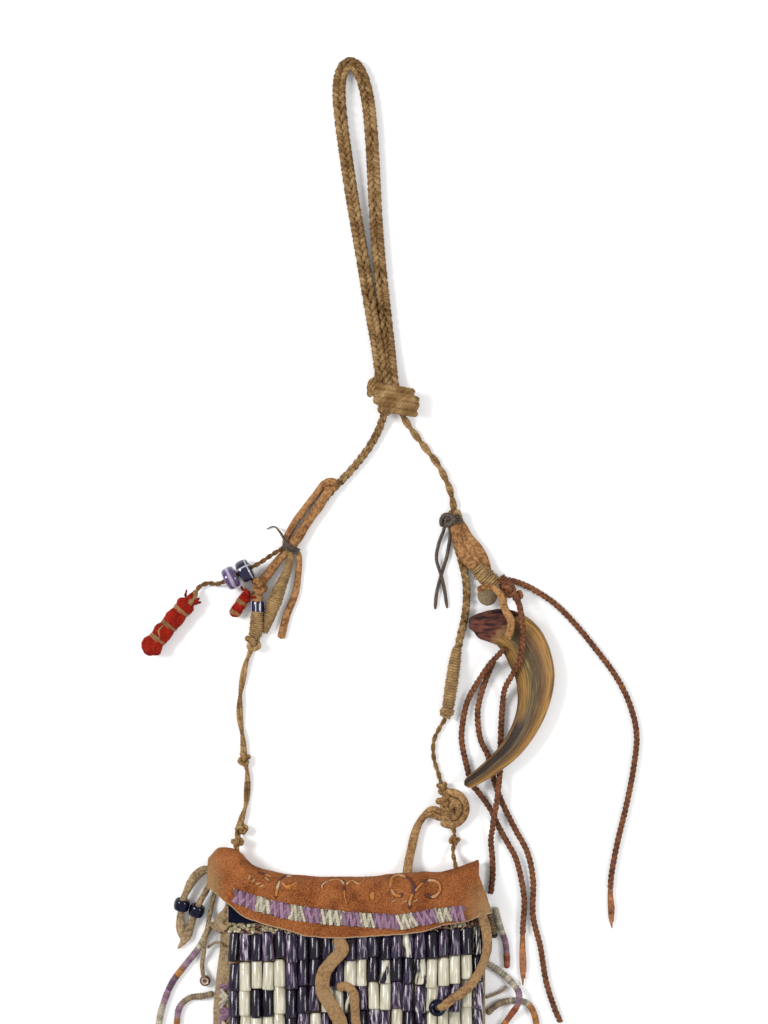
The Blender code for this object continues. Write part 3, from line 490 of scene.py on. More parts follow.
def folded_quill(given):
    """One flattened quill, lying along Y."""
    half = given["Length"] * 0.5
    ends = [half.node("ShaderNodeCombineXYZ", None, {"Y": side * half}) for side in (-1, 1)]
    line = half.node("GeometryNodeCurvePrimitiveLine", None, {"Start": ends[0], "End": ends[1]})
    flat = line.node("GeometryNodeCurvePrimitiveQuadrilateral", None,
                     {"Width": given["Width"], "Height": given["Thickness"]})
    soft = flat.node("GeometryNodeFilletCurve", {"mode": "POLY"},
                     {"Curve": flat, "Count": 2, "Radius": given["Thickness"] * 0.45})
    return line.node("GeometryNodeCurveToMesh", None,
                     {"Curve": line, "Profile Curve": soft, "Fill Caps": True})


quill_tree = strewn_tree("folded_quills", {"Width": "Float", "Thickness": "Float", "Length": "Float"},
                         folded_quill)
trim_y = np.arange(BACK_BOTTOM + 8 * MM, TRIM_END, QUILL_SPACING)
trim_x = -HALF_WIDTH + 3.3 * MM
trim_z = panel_top(trim_x) + 0.5 * MM
trim_places = [(trim_x, y, trim_z + 0.3 * MM * (i % 2)) for i, y in enumerate(trim_y)]
trim_turns = [(0.2 * (-1) ** i, -0.5, math.pi / 2 + 0.45 * (-1) ** (i // 2)) for i in range(len(trim_y))]
trim_dyes = [(IVORY, LAVENDER)[int(y / TRIM_BLOCK) % 2] for y in 1 + trim_y]
trim_data = strewn(quill_tree, trim_places, trim_turns,
                   {"Width": 1.6 * MM, "Thickness": 0.9 * MM, "Length": 3.6 * MM, "Jitter": 0.3,
                    "Seed": 9, "Finish": quill}, dye=trim_dyes)
dressed("quill_trim", trim_data, [], "quill")

# The shell beads. Purple and white shell ground to tubes, polished by wear and woven on warps that
# pass through their holes, 22 across and ten rows down. Each row laps a little over the next.
COLUMNS = 22
ROWS = 10
ROW_SLOPE = 0.03
ROW_LAP = 0.2
SPREAD_ACROSS = 0.12 * MM
SPREAD_DOWN = 0.38 * MM
WARP_SPREAD = 0.5 * MM
LEFT_MARGIN = 4.9 * MM
TOP_MARGIN = 4.4 * MM
BEAD_PITCH = 3.95 * MM
BEAD_RADIUS = 1.93 * MM
BEAD_HOLE = 0.75 * MM
BEAD_LENGTH = 8.9 * MM
ROW_PITCH = 9.0 * MM
BEADS_LEFT = -HALF_WIDTH + LEFT_MARGIN
BEADS_TOP = BACK_TOP - TOP_MARGIN


def tube_bead(given):
    """A bead with its hole along Z: a ring swept by an oblong with rounded corners."""
    wall = given["Radius"] - given["Hole"]
    ring = wall.node("GeometryNodeCurvePrimitiveCircle", None,
                     {"Resolution": given["Sides"], "Radius": (given["Radius"] + given["Hole"]) * 0.5})
    oblong = wall.node("GeometryNodeCurvePrimitiveQuadrilateral", None,
                       {"Width": wall, "Height": given["Length"]})
    soft = oblong.node("GeometryNodeFilletCurve", {"mode": "POLY"},
                       {"Curve": oblong, "Count": 3, "Radius": wall * 0.49})
    return ring.node("GeometryNodeCurveToMesh", None, {"Curve": ring, "Profile Curve": soft})


def is_white(column, row):
    """The pattern, counted from 1: hollow squares at both sides and a hollow diamond between."""
    for left in (2, 18):
        for top in (2, 6):
            if left <= column <= left + 3 and top <= row <= top + 2:
                return row != top + 1 or column in (left, left + 3)
    return abs(abs(column - 11.5) + 1.4 * abs(row - 5) - 4.7) < 0.75


shell, shell_shader, shell_place = new_finish("shell", 0.13, Specular_IOR_Level=0.3)
tone = own(shell_place, "tone", "Fac")
shifted = shell_place.vector("ADD", tone.node("ShaderNodeCombineXYZ", None, {"X": tone, "Y": tone * 0.3}))
slant = shell_place.part(1) * (tone - 0.5) * 0.4
slanted = shifted.vector("ADD", slant.node("ShaderNodeCombineXYZ", None, {"X": slant}))
streaks = cloudy(slanted, 0.75 * MM, 5.0, (1.0, 0.1, 1.0))
veins = cloudy(slanted, 1.9 * MM, 3.0, (1.0, 0.14, 1.0))
purple = (streaks.step(0.36, 0.68) * (tone * 0.46 + 0.32) + tone * 0.34).ramp(
    [(0.0, hue(14, 11, 20)), (0.35, hue(44, 36, 56)), (0.6, hue(88, 74, 98)), (0.8, hue(136, 120, 138)),
     (1.0, hue(226, 218, 220))])
milky = veins.step(0.3, 0.7) * 0.7 + streaks.step(0.3, 0.7) * 0.4
white = milky.blend(hue(190, 180, 150), hue(238, 232, 212))
patchy = (own(shell_place, "white", "Fac") + veins * 0.5).step(0.7, 0.76)
feed(shell_shader, "Base Color", patchy.blend(purple, white))
raised(shell_shader, streaks, 0.05 * MM)

bead_tree = strewn_tree("tube_beads", {"Radius": "Float", "Hole": "Float", "Length": "Float",
                                       "Sides": "Int"}, tube_bead)
draw = np.random.default_rng(22)
warp_drop = draw.normal(0, WARP_SPREAD, COLUMNS)
for row in range(ROWS):
    bead_x = BEADS_LEFT + (np.arange(COLUMNS) + 0.5) * BEAD_PITCH + draw.normal(0, SPREAD_ACROSS, COLUMNS)
    bead_y = BEADS_TOP - (row + 0.55) * ROW_PITCH + ROW_SLOPE * bead_x + draw.normal(0, SPREAD_DOWN, COLUMNS)
    bead_y += warp_drop * (0.6 if row == 0 else 1.0)
    bead_z = panel_top(bead_x) + CLEARANCE + BEAD_RADIUS + draw.uniform(-0.2, 0.25, COLUMNS) * MM
    turns = np.stack([np.full(COLUMNS, math.pi / 2 - ROW_LAP), np.zeros(COLUMNS),
                      draw.normal(0, 0.03, COLUMNS)], -1)
    sizes = np.stack([draw.uniform(0.93, 1.08, COLUMNS), draw.uniform(0.92, 1.02, COLUMNS),
                      draw.uniform(1.02, 1.12, COLUMNS)], -1)
    half_white = np.where(draw.uniform(0, 1, COLUMNS) > 0.82, draw.uniform(0.38, 0.52, COLUMNS), 0.0)
    whites = np.where([is_white(c + 1, row + 1) for c in range(COLUMNS)], 1.0, half_white)
    data = strewn(bead_tree, np.stack([bead_x, bead_y, bead_z], -1), turns,
                  {"Radius": BEAD_RADIUS, "Hole": BEAD_HOLE, "Length": BEAD_LENGTH, "Sides": 16,
                   "Jitter": 0.02, "Seed": 30 + row, "Finish": shell},
                  sizes, tone=draw.uniform(0, 1, COLUMNS) ** 1.1, white=whites)
    dressed(f"shell_beads_{row + 1:02d}", data, [], "shell", f"bead_row_{row + 1:02d}")

# The edging. Small ivory and dark red beads sewn in three uneven lines along the mouth, above the
# first row of shell beads, and the frayed beige threads that hold them.
small_glass, small_shader, small_place = new_finish("small_beads", 0.3)
small_dirt = cloudy(small_place, 1.0 * MM)
feed(small_shader, "Base Color", (small_dirt.step(0.55, 0.75) * 0.5).blend(own(small_place, "dye"),
                                                                         hue(96, 78, 58)))
EDGE_DYES = (dye_of(214, 202, 166), dye_of(178, 160, 118), dye_of(92, 40, 38), dye_of(132, 96, 84))
EDGE_LINE_BEADS = 56
EDGE_THREADS = 130
edge_share = (np.arange(EDGE_LINE_BEADS) + 0.5) / EDGE_LINE_BEADS
edge_x = np.tile(BEADS_LEFT + edge_share * COLUMNS * BEAD_PITCH, 3)
edge_x += draw.normal(0, 0.3 * MM, len(edge_x))
edge_y = BEADS_TOP + np.repeat([0.3, 1.4, 2.6], EDGE_LINE_BEADS) * MM + ROW_SLOPE * edge_x
edge_y += draw.normal(0, 0.25 * MM, len(edge_x))
edge_z = panel_top(edge_x) + CLEARANCE + np.repeat([1.3, 0.9, 0.6], EDGE_LINE_BEADS) * MM
edge_places = np.stack([edge_x, edge_y, edge_z], -1)
reddish = swells(edge_places, 5 * MM, 2.0) + draw.normal(0, 0.25, len(edge_x)) > 0.12
edge_dyes = [EDGE_DYES[2 * r + (v > 0.6)] for r, v in zip(reddish, draw.uniform(0, 1, len(edge_x)))]
edge_data = strewn(bead_tree, edge_places, (0.2, math.pi / 2, 0),
                   {"Radius": 0.68 * MM, "Hole": 0.25 * MM, "Length": 1.3 * MM, "Sides": 9, "Jitter": 0.8,
                    "Seed": 5, "Finish": small_glass}, dye=edge_dyes)
dressed("edge_beads", edge_data, [], "seed_beads", "edge_beading")
fray_x = draw.uniform(BEADS_LEFT, -BEADS_LEFT, EDGE_THREADS)
fray_y = BEADS_TOP + draw.uniform(-0.6, 3.4, EDGE_THREADS) * MM + ROW_SLOPE * fray_x
fray_z = panel_top(fray_x) + CLEARANCE + draw.uniform(1.2, 2.4, EDGE_THREADS) * MM
fray_turns = np.stack([draw.normal(0, 0.2, EDGE_THREADS), 0 * fray_x,
                       math.pi / 2 + draw.normal(0.1, 0.5, EDGE_THREADS)], -1)
fray_data = strewn(quill_tree, np.stack([fray_x, fray_y, fray_z], -1), fray_turns,
                   {"Width": 0.3 * MM, "Thickness": 0.22 * MM, "Length": 2.6 * MM, "Jitter": 0.1, "Seed": 6,
                    "Finish": sinew})
dressed("edge_threads", fray_data, [], "seed_beads")

# The flap. A strip of smoked red-brown suede, sewn behind the mouth, rolled over it and laid on the
# beads. Its ends are scuffed grey, and its cut edge shows pale.
FLAP_THICKNESS = 1.4 * MM
ROLL_REACH = 4.5 * MM
FLAP_END_LEAN = 4.5 * MM
FLAP_LEAN_SPAN = (0.75, 0.96)
BEAD_DIAMETER = 3.8 * MM
ROLL_POINTS = 26
FRONT_POINTS = 29
BEHIND_POINTS = 7
FLAP_TOP_EDGE = ((-1.045, 18.9), (-0.99, 22.9), (-0.89, 23.3), (-0.81, 21.9), (-0.74, 18.2),
                 (-0.65, 15.8), (-0.44, 14.1), (-0.2, 13.2), (0.1, 13.3), (0.4, 14.5), (0.7, 15.2),
                 (0.83, 16.6), (0.96, 19.0))
FLAP_LOWER_EDGE = ((-1.045, 10.5), (-0.92, 5.3), (-0.85, 3.6), (-0.79, 0.8), (-0.66, -1.2),
                   (-0.48, -3.2), (-0.31, -5.6), (-0.1, -6.3), (0.25, -5.4), (0.55, -4.3),
                   (0.68, -2.2), (0.84, -1.2), (0.96, 1.6))


def eased(table, places):
    """Values from a table of (place, value) pairs, with its corners rounded off."""
    places = np.asarray(places)
    spots, values = np.array(table).T
    shifts = np.linspace(-0.035, 0.035, 9)
    held = np.clip(places[..., None] + shifts, spots[0], spots[-1])
    return np.interp(held, spots, values).mean(-1)


def bead_top(x):
    """Height of the shell beads' tops."""
    return panel_top(x) + CLEARANCE + BEAD_DIAMETER


def flap_top(x):
    """Height of the flap's outer face, which keeps level past the pouch's sides."""
    held = np.minimum(np.abs(x), HALF_WIDTH - 2 * MM)
    return bead_top(held) + CLEARANCE + FLAP_THICKNESS * slope_factor(held)


def flap_section(share, depth, lower, back):
    """The flap across its roll at one place: up the back, round the roll and down the front."""
    x = share * HALF_WIDTH
    height = flap_top(x)
    roll = BACK_TOP + eased(FLAP_TOP_EDGE, share) * MM - ROLL_REACH
    angle = math.pi * (np.linspace(0, 1, ROLL_POINTS) - 0.5)
    around = np.stack([np.full(ROLL_POINTS, x), roll + (ROLL_REACH - depth) * np.cos(angle),
                       height / 2 + (height / 2 - depth) * np.sin(angle)], -1)
    fall = np.linspace(0, 1, FRONT_POINTS + 1)[1:]
    lean = FLAP_END_LEAN * max(0.0, (share - FLAP_LEAN_SPAN[0]) / (FLAP_LEAN_SPAN[1] - FLAP_LEAN_SPAN[0]))
    front_x = x + lean * fall
    front = np.stack([front_x, roll + (lower - roll) * fall, flap_top(front_x) - depth], -1)
    leg = np.linspace(0, 1, BEHIND_POINTS + 1)[:-1, None]
    behind = around[0] + (1 - leg) * (0, min(back, roll - MM) - around[0][1], 0)
    return np.concatenate([behind, around, front])


suede = hide("smoked_suede", hue(104, 52, 24), hue(196, 122, 72), hue(176, 142, 100), 0.42 * MM)
suede_edge = edge_of_hide("suede_edge", hue(206, 170, 128))
flap_shares = np.linspace(FLAP_TOP_EDGE[0][0], FLAP_TOP_EDGE[-1][0], 190)
outer, scuffs = [], []
for share in flap_shares:
    wobble = 0.25 * MM * noise.noise(Vector((share * 14, 3.1, 0)))
    lower = BACK_TOP + eased(FLAP_LOWER_EDGE, share) * MM + wobble
    section = flap_section(share, 0.0, lower, max(BACK_TOP + CLEARANCE, lower))
    outer.append(section)
    low_part = np.clip((section[:, 1] - lower) / (14 * MM), 0, 1)
    left_end = np.clip((-0.9 - share) / 0.12, 0, 1) * np.clip(1.3 - low_part, 0, 1)
    right_end = np.clip((share - 0.8) / 0.14, 0, 1) * np.clip(1.2 - 1.3 * low_part, 0, 1)
    scuffs.append(np.maximum(left_end, right_end))
flap_data = surface(outer)
mark(flap_data, "scuff", np.concatenate(scuffs))
rim = np.zeros((len(flap_shares), len(outer[0])))
rim[:, -1] = 1.0
mark(flap_data, "rim", rim.ravel())
roughened(flap_data, 6 * MM, 0.35 * MM, 2.0)
roughened(flap_data, 1.6 * MM, 0.14 * MM, 7.0)
flap = dressed("suede_flap", flap_data, [suede, suede_edge], "smoked_suede", "flap")
thickened(flap, FLAP_THICKNESS, -1.0)

# The lining. A piece of navy fulled wool inside the flap's roll, which shows at the left under the
# flap and at the open right end of the roll.
LINING_THICKNESS = 0.8 * MM
LINING_SPAN = (-0.89, 0.94)
LINING_LOWER = -0.6 * MM
wool, wool_shader, wool_place = new_finish("navy_wool", 0.97, Specular_IOR_Level=0.1)
fluff = cloudy(wool_place, 0.5 * MM, 4.0)
feed(wool_shader, "Base Color", fluff.step(0.3, 0.7).blend(hue(4, 6, 16), hue(22, 28, 54)))
raised(wool_shader, fluff, 0.3 * MM)
lining_rows = []
for share in np.linspace(*LINING_SPAN, 120):
    lower = BACK_TOP + LINING_LOWER + ROW_SLOPE * share * HALF_WIDTH
    lining_rows.append(flap_section(share, FLAP_THICKNESS + CLEARANCE, lower, BACK_TOP)[BEHIND_POINTS:])
lining_data = surface(lining_rows)
roughened(lining_data, 4 * MM, 0.12 * MM, 5.0)
lining = dressed("wool_lining", lining_data, [wool, wool], "navy_wool", "flap_lining")
thickened(lining, LINING_THICKNESS, -1.0)

# The quill band. Flattened quills folded up and down between two lines of stitches along the flap's
# lower edge, in blocks of lavender and ivory.
QUILL_BAND_LINE = ((-0.82, 7.6), (-0.67, 5.3), (-0.44, 2.9), (-0.18, 1.2), (0.0, 0.5), (0.38, -0.7),
                   (0.63, 1.4), (0.83, 1.9))
BAND_WIDTH = 5.2 * MM
BLOCK_ENDS = (-31.3, -26.5, -19.4, -15.0, -9.5, -2.0, 3.7, 8.8, 16.0, 23.0, 28.9, 34.3, 40.0)
FOLDS = 66
band_share = np.tile(np.linspace(QUILL_BAND_LINE[0][0], QUILL_BAND_LINE[-1][0], FOLDS), 2)
band_x = band_share * HALF_WIDTH
band_y = BACK_TOP + eased(QUILL_BAND_LINE, band_share) * MM
under = np.repeat([1, 0], FOLDS)
odd = (np.arange(2 * FOLDS) + under) % 2
band_z = flap_top(band_x) + (0.3 + 0.25 * odd + 0.3 * (1 - under)) * MM
slope = np.gradient(band_y[:FOLDS], band_x[:FOLDS])
band_turns = np.stack([0 * band_x, 0.12 * (odd - 0.5), np.tile(slope, 2) + np.where(odd, 0.3, -0.3)], -1)
blocks = np.searchsorted(np.array(BLOCK_ENDS) * MM, band_x)
band_dyes_and_shade = np.array([(LAVENDER, IVORY)[b % 2] for b in blocks])
# Painted shade: the lower folds are dimmed to 0.4 against 0.82 for the upper ones, so the gaps between upper
# folds read as shadow; the random part is real tone.
band_dyes_and_shade = band_dyes_and_shade * (np.where(under, 0.4, 0.82) + draw.uniform(0, 0.26, 2 * FOLDS))[:, None]
band_data = strewn(quill_tree, np.stack([band_x, band_y, band_z], -1), band_turns,
                   {"Width": 1.2 * MM, "Thickness": 0.5 * MM, "Length": BAND_WIDTH, "Jitter": 0.14,
                    "Seed": 12, "Finish": quill},
                   np.stack([draw.uniform(0.75, 1.12, 2 * FOLDS), draw.uniform(0.85, 1.06, 2 * FOLDS),
                             np.ones(2 * FOLDS)], -1), dye=band_dyes_and_shade)
dressed("quill_folds", band_data, [], "quill", "quill_band")

# The double curves. Orange and yellow quills couched on the flap in curling lines, worn through in
# places, below the fold of the roll.
CURVE_WIDTH = 0.95 * MM
DOUBLE_CURVES = (
    ((-22.3, 62.7), (-21.4, 61.9), (-20.6, 61.5), (-19.4, 61.9)),
    ((8.2, 57.2), (7.9, 58.6), (8.4, 60.0)),
    ((-24.6, 57.8), (-24.2, 60.5), (-23.2, 63.4), (-21.6, 64.4), (-19.4, 64.4)),
    ((-22.6, 62.9), (-20.8, 61.6), (-19.0, 62.3), (-17.2, 62.9)),
    ((-31.0, 65.8), (-28.6, 65.4), (-26.0, 64.6)),
    ((-0.6, 55.7), (-1.4, 58.6), (-1.7, 62.4), (-3.4, 63.4), (-6.6, 63.2), (-9.0, 62.0), (-8.4, 60.6)),
    ((-1.0, 62.2), (1.2, 63.2), (3.2, 62.4), (5.4, 63.6)),
    ((20.6, 54.2), (20.7, 57.3), (21.9, 60.4), (21.2, 63.1), (18.4, 64.6), (15.0, 64.3), (13.9, 61.6)),
    ((14.4, 61.0), (15.2, 59.3), (17.6, 58.7), (18.1, 60.2)),
    ((22.3, 60.2), (24.7, 62.6), (27.6, 63.6), (30.2, 62.8), (30.8, 60.6), (29.4, 58.6), (27.4, 58.2),
     (25.6, 59.4)),
)
BROAD_CURVES = (0, 1)
WORN_CURVES = (4, 5)
STRAY_STITCHES = ((-33.6, 64.6, 1.2), (-32.2, 63.6, 0.9), (-30.6, 62.6, 0.3), (-29.4, 61.8, 0.5),
                  (-27.6, 64.0, 2.6), (-38.6, 60.4, 2.4), (-37.6, 59.4, 2.2), (15.2, 57.0, 0.4),
                  (18.9, 56.8, 0.2), (22.6, 57.0, 0.5))


def flap_height(x, y):
    """Height of the flap's outer face, also where it goes round the roll."""
    height = flap_top(x)
    roll = BACK_TOP + eased(FLAP_TOP_EDGE, x / HALF_WIDTH) * MM - ROLL_REACH
    reach = np.clip((y - roll) / ROLL_REACH, 0, 1)
    return height / 2 + height / 2 * np.sqrt(1 - reach ** 2)


def course(route, floor_height, spacing):
    """Evenly spaced points on a smooth curve through a route that is given in millimetres."""
    knots = [Vector((p[0] * MM, p[1] * MM, p[2] * MM if len(p) > 2 else floor_height)) for p in route]
    ends = [2 * knots[0] - knots[1], *knots, 2 * knots[-1] - knots[-2]]
    dense = []
    for before, start, end, after in zip(ends, ends[1:], ends[2:], ends[3:]):
        reach = (end - start).length / 3
        leave = start + (end - before).normalized() * reach
        arrive = end - (after - start).normalized() * reach
        dense += geometry.interpolate_bezier(start, leave, arrive, end, 12)[:-1]
    dense = np.array([*dense, knots[-1]])
    dense[:, 2] = np.maximum(dense[:, 2], floor_height)
    run = np.concatenate([[0], np.cumsum(np.linalg.norm(np.diff(dense, axis=0), axis=1))])
    even = np.linspace(0, run[-1], max(4, round(run[-1] / spacing) + 1))
    return np.stack([np.interp(even, run, dense[:, k]) for k in range(3)], -1)


UP = (0, 0, 1)


def frames(points, pole=UP):
    """The run along a line, and its directions across and upward at each point."""
    along = np.gradient(points, axis=0)
    along /= np.linalg.norm(along, axis=1, keepdims=True)
    across = np.cross(along, pole)
    across /= np.linalg.norm(across, axis=1, keepdims=True)
    run = np.concatenate([[0], np.cumsum(np.linalg.norm(np.diff(points, axis=0), axis=1))])
    return run, across, np.cross(across, along)


def strand(points, wide, high=None, sides=10, lobes=0, groove=0.0, lay=0.0, dye=(1, 1, 1), square=1.0,
           pole=UP):
    """One swept strand: rings of half width wide and half height high round a line. Lobes with a
    groove and a lay give it the ridges of twisted yarn."""
    run, across, upward = frames(points, pole)
    wide = np.broadcast_to(wide, len(points)).astype(float)
    high = wide if high is None else np.broadcast_to(high, len(points)).astype(float)
    tip = np.clip(np.minimum(run, run[-1] - run) / high.mean(), 0, 1)
    ease = np.clip(np.sqrt(1 - (1 - tip) ** 2), 0.2, 1)
    angle = np.linspace(0, math.tau, sides, endpoint=False)
    turned = angle - lay * run[:, None]
    ridge = 1 - groove * (0.5 - 0.5 * np.cos(lobes * turned))
    beside, above = (np.sign(v) * np.abs(v) ** square for v in (np.cos(angle), np.sin(angle)))
    rings = (points[:, None] + across[:, None] * ((wide * ease)[:, None] * ridge * beside)[..., None]
             + upward[:, None] * ((high * ease)[:, None] * ridge * above)[..., None])
    grain = np.stack([np.broadcast_to(run[:, None], turned.shape), wide.mean() * np.cos(turned),
                      wide.mean() * np.sin(turned)], -1)
    dyes = np.broadcast_to(np.asarray(dye, float), (len(points), 3)) if np.ndim(dye) == 1 else dye
    return rings, grain, np.repeat(np.asarray(dyes)[:, None], sides, 1)


def laid_up(strands):
    """Mesh data of all the strands together, with the grain at each point and its dyes and painted shade."""
    corners, faces, grains, dyes, start = [], [], [], [], 0
    for rings, grain, dye in strands:
        count, sides = rings.shape[:2]
        index = start + np.arange(count * sides).reshape(count, sides)
        turned = np.roll(index, -1, 1)
        faces += np.stack([index[:-1], index[1:], turned[1:], turned[:-1]], -1).reshape(-1, 4).tolist()
        faces += [index[0].tolist(), index[-1, ::-1].tolist()]
        corners.append(rings.reshape(-1, 3))
        grains.append(grain.reshape(-1, 3))
        dyes.append(dye.reshape(-1, 3))
        start += count * sides
    data = bpy.data.meshes.new("strands")
    data.from_pydata(np.concatenate(corners).tolist(), [], faces)
    data.shade_smooth()
    mark(data, "grain", np.concatenate(grains))
    mark(data, "dye", np.concatenate(dyes))
    return data


lines = []
for number, route in enumerate(DOUBLE_CURVES):
    points = course(route, 0.0, 0.5 * MM)
    points[:, 2] = flap_height(points[:, 0], points[:, 1]) + 0.25 * MM
    share = 0.32 if number in WORN_CURVES else 0.5
    width = CURVE_WIDTH * share * (1 + 0.5 * swells(points, 2 * MM, number))
    pale = np.clip(swells(points, 3 * MM, 4.0 + number) * 1.2, 0, 0.6)[:, None]
    dyes = np.array(ORANGE) * (1 - pale) + np.array(IVORY) * pale
    stain = dye_of(92, 44, 22)
    lines.append(strand(points - (0, 0, 0.1 * MM), width + 0.16 * MM, 0.15 * MM, 8, dye=stain))
    broad = width * (1.6 if number in BROAD_CURVES else 1)
    stays = np.flatnonzero(swells(points, 3.5 * MM, 9.0 + number) > -0.3)
    for stretch in np.split(stays, np.flatnonzero(np.diff(stays) > 1) + 1):
        if len(stretch) > 3:
            lines.append(strand(points[stretch], broad[stretch], 0.3 * MM, 8, dye=dyes[stretch]))
for x, y, turn in STRAY_STITCHES:
    way = np.linspace(-0.9, 0.9, 6)[:, None] * np.array([[math.cos(turn), math.sin(turn), 0]]) * MM
    points = np.array([[x * MM, y * MM, 0]]) + way
    points[:, 2] = flap_height(points[:, 0], points[:, 1]) + 0.2 * MM
    lines.append(strand(points, 0.3 * MM, 0.25 * MM, 6, dye=dye_of(206, 168, 116)))
dressed("quill_curves", laid_up(lines), [quill], "quill")

# The front ties. Flat thongs of the same hide: one through the flap's edge, one out of a hole in the
# bead rows, and one from the flap's right corner to a dark blue glass bead.
STRAP_THICKNESS = 1.6 * MM
STRAP_STEP = 0.5 * MM
THONG_STEP = 0.45 * MM
SHORTEST_CORD = 30 * MM
FLAP_STRAP = ((-3.2, 46.4), (-3, 43.2), (-2, 40.5), (-5.5, 36.5), (-8.5, 32), (-8.5, 26), (-5.5, 21),
              (-3, 16), (-2.5, 8.5), (-2.5, 0), (-1, -8.5))
FRONT_STRAP = ((-4, 27.5), (-1, 28), (1.5, 26), (2, 21.5), (2.5, 15.5), (4, 7), (5, -1.5), (3.5, -9))
SIDE_STRAP = ((44.5, 52.5), (46, 48.5), (47, 43), (46.5, 37.5), (44, 31.5), (40.5, 27), (36, 24),
              (32.7, 22.2), (30.1, 20.95))
thong = hide("tan_thong", hue(122, 88, 56), hue(206, 162, 112), hue(160, 130, 96), 0.9 * MM)
navy_glass, navy_shader, navy_place = new_finish("navy_glass", 0.06, Specular_IOR_Level=0.25)
navy_depth = cloudy(navy_place, 1.5 * MM)
feed(navy_shader, "Base Color", navy_depth.step(0.3, 0.7).blend(hue(5, 7, 24), hue(14, 20, 56)))


def over_beads(route, width):
    """Points of a route over the beads, each at the height of the beads below it."""
    lifted = []
    for x, y in route:
        below = bead_top(max(0.0, abs(x * MM) - width / 2))
        lifted.append((x, y, (below + CLEARANCE + STRAP_THICKNESS / 2) / MM))
    return course(lifted, 0.0, STRAP_STEP)


def declared(points):
    """Work out the length of the line that a free cord or thong follows; nothing is done with it."""
    length = float(np.linalg.norm(np.diff(points, axis=0), axis=1).sum())
    if length < SHORTEST_CORD:
        return


for name, route, width, node in (("flap_thong", FLAP_STRAP, 4.8 * MM, "flap_tie"),
                                 ("front_thong", FRONT_STRAP, 3.2 * MM, "front_tie"),
                                 ("side_thong", SIDE_STRAP, 3.2 * MM, "side_tie")):
    points = over_beads(route, width)
    run = np.arange(len(points)) * STRAP_STEP
    vary = 1 + 0.12 * swells(points, 6 * MM, width * 900)
    if node == "flap_tie":
        points[:, 2] -= 1.3 * MM * np.exp(-run / (2.5 * MM))
        vary = vary * (1 - 0.25 * np.exp(-run / (5 * MM)))
    if node == "side_tie":
        to_end = run[-1] - run
        points[:, 2] += 3.4 * MM * np.clip(1.35 - to_end / (4.5 * MM), 0, 1)
        points[:, 2] -= 2.0 * MM * np.clip(1 - to_end / (1.2 * MM), 0, 1)
        vary = vary * (1 - 0.3 * np.clip(1 - to_end / (3 * MM), 0, 1))
    strap_data = laid_up([strand(points, width / 2 * vary, STRAP_THICKNESS / 2, 24, square=0.9)])
    roughened(strap_data, 1.1 * MM, 0.14 * MM, 4.0)
    piece = dressed(name, strap_data, [thong], "tan_thong", node)
    mark(piece.data, "scuff", 0.5 + 0.5 * swells(corners_of(piece.data), 9 * MM, 2.0))
    declared(points)


BEAD_SPOKES = 32
BEAD_CORNERS = 25


def glass_bead(name, centre, axis, radius, length, hole, finish, node, slot="navy_glass", belly=1.0):
    """A wound glass bead: a soft-edged ring round its hole, turned to the thong through it. Its centre is
    in millimetres, and a smaller belly squares its edges."""
    angle = np.linspace(0, math.tau, BEAD_CORNERS, endpoint=False)
    wall = (radius - hole) / 2
    across = (radius + hole) / 2 + wall * np.sign(np.cos(angle)) * np.abs(np.cos(angle)) ** belly
    along = length / 2 * np.sign(np.sin(angle)) * np.abs(np.sin(angle)) ** belly
    spin = np.linspace(0, math.tau, BEAD_SPOKES, endpoint=False)
    turn = Vector(axis).to_track_quat("Z", "Y").to_matrix()
    rings = np.array([[turn @ Vector((a * math.cos(s), a * math.sin(s), z)) for a, z in zip(across, along)]
                      for s in spin]) + np.array(centre) * MM
    index = np.arange(BEAD_SPOKES * BEAD_CORNERS).reshape(BEAD_SPOKES, BEAD_CORNERS)
    after, beside = np.roll(index, -1, 0), np.roll(index, -1, 1)
    quads = np.stack([index, after, np.roll(after, -1, 1), beside], -1).reshape(-1, 4)
    data = bpy.data.meshes.new(name)
    data.from_pydata(rings.reshape(-1, 3).tolist(), [], quads.tolist())
    data.shade_smooth()
    spins = np.repeat(spin, BEAD_CORNERS)
    grain = np.stack([np.tile(along, BEAD_SPOKES) / (length / 2), np.cos(spins), np.sin(spins)], -1)
    mark(data, "grain", grain)
    return dressed(name, data, [finish], slot, node)


NAVY_RADIUS = 2.3 * MM
NAVY_LENGTH = 3.4 * MM
SIDE_BEAD = (29.9, 20.8)
side_bead_z = (bead_top(SIDE_BEAD[0] * MM - NAVY_RADIUS) + CLEARANCE + NAVY_LENGTH / 2) / MM
glass_bead("side_bead", (*SIDE_BEAD, side_bead_z), UP, 2.95 * MM, NAVY_LENGTH, 0.9 * MM,
           navy_glass, "side_tie_bead")

# The mouth corner. The crumpled corner of the buckskin, which stands out past the beads at the left
# end of the mouth.
CORNER_OUTER = ((0, -41.4, 54.6), (0.4, -44.2, 51.0), (0.78, -47.6, 46.8), (1, -44.6, 44.8))
CORNER_INNER = ((0, -40.9, 54.3), (0.6, -40.4, 49.0), (1, -42.0, 44.8))
CORNER_ROWS = 34


def corner_edge(table, fall):
    """x and y down an edge of the corner, from a table of (share of its fall, x, y)."""
    spots, table_x, table_y = np.array(table).T
    return np.interp(fall, spots, table_x), np.interp(fall, spots, table_y)


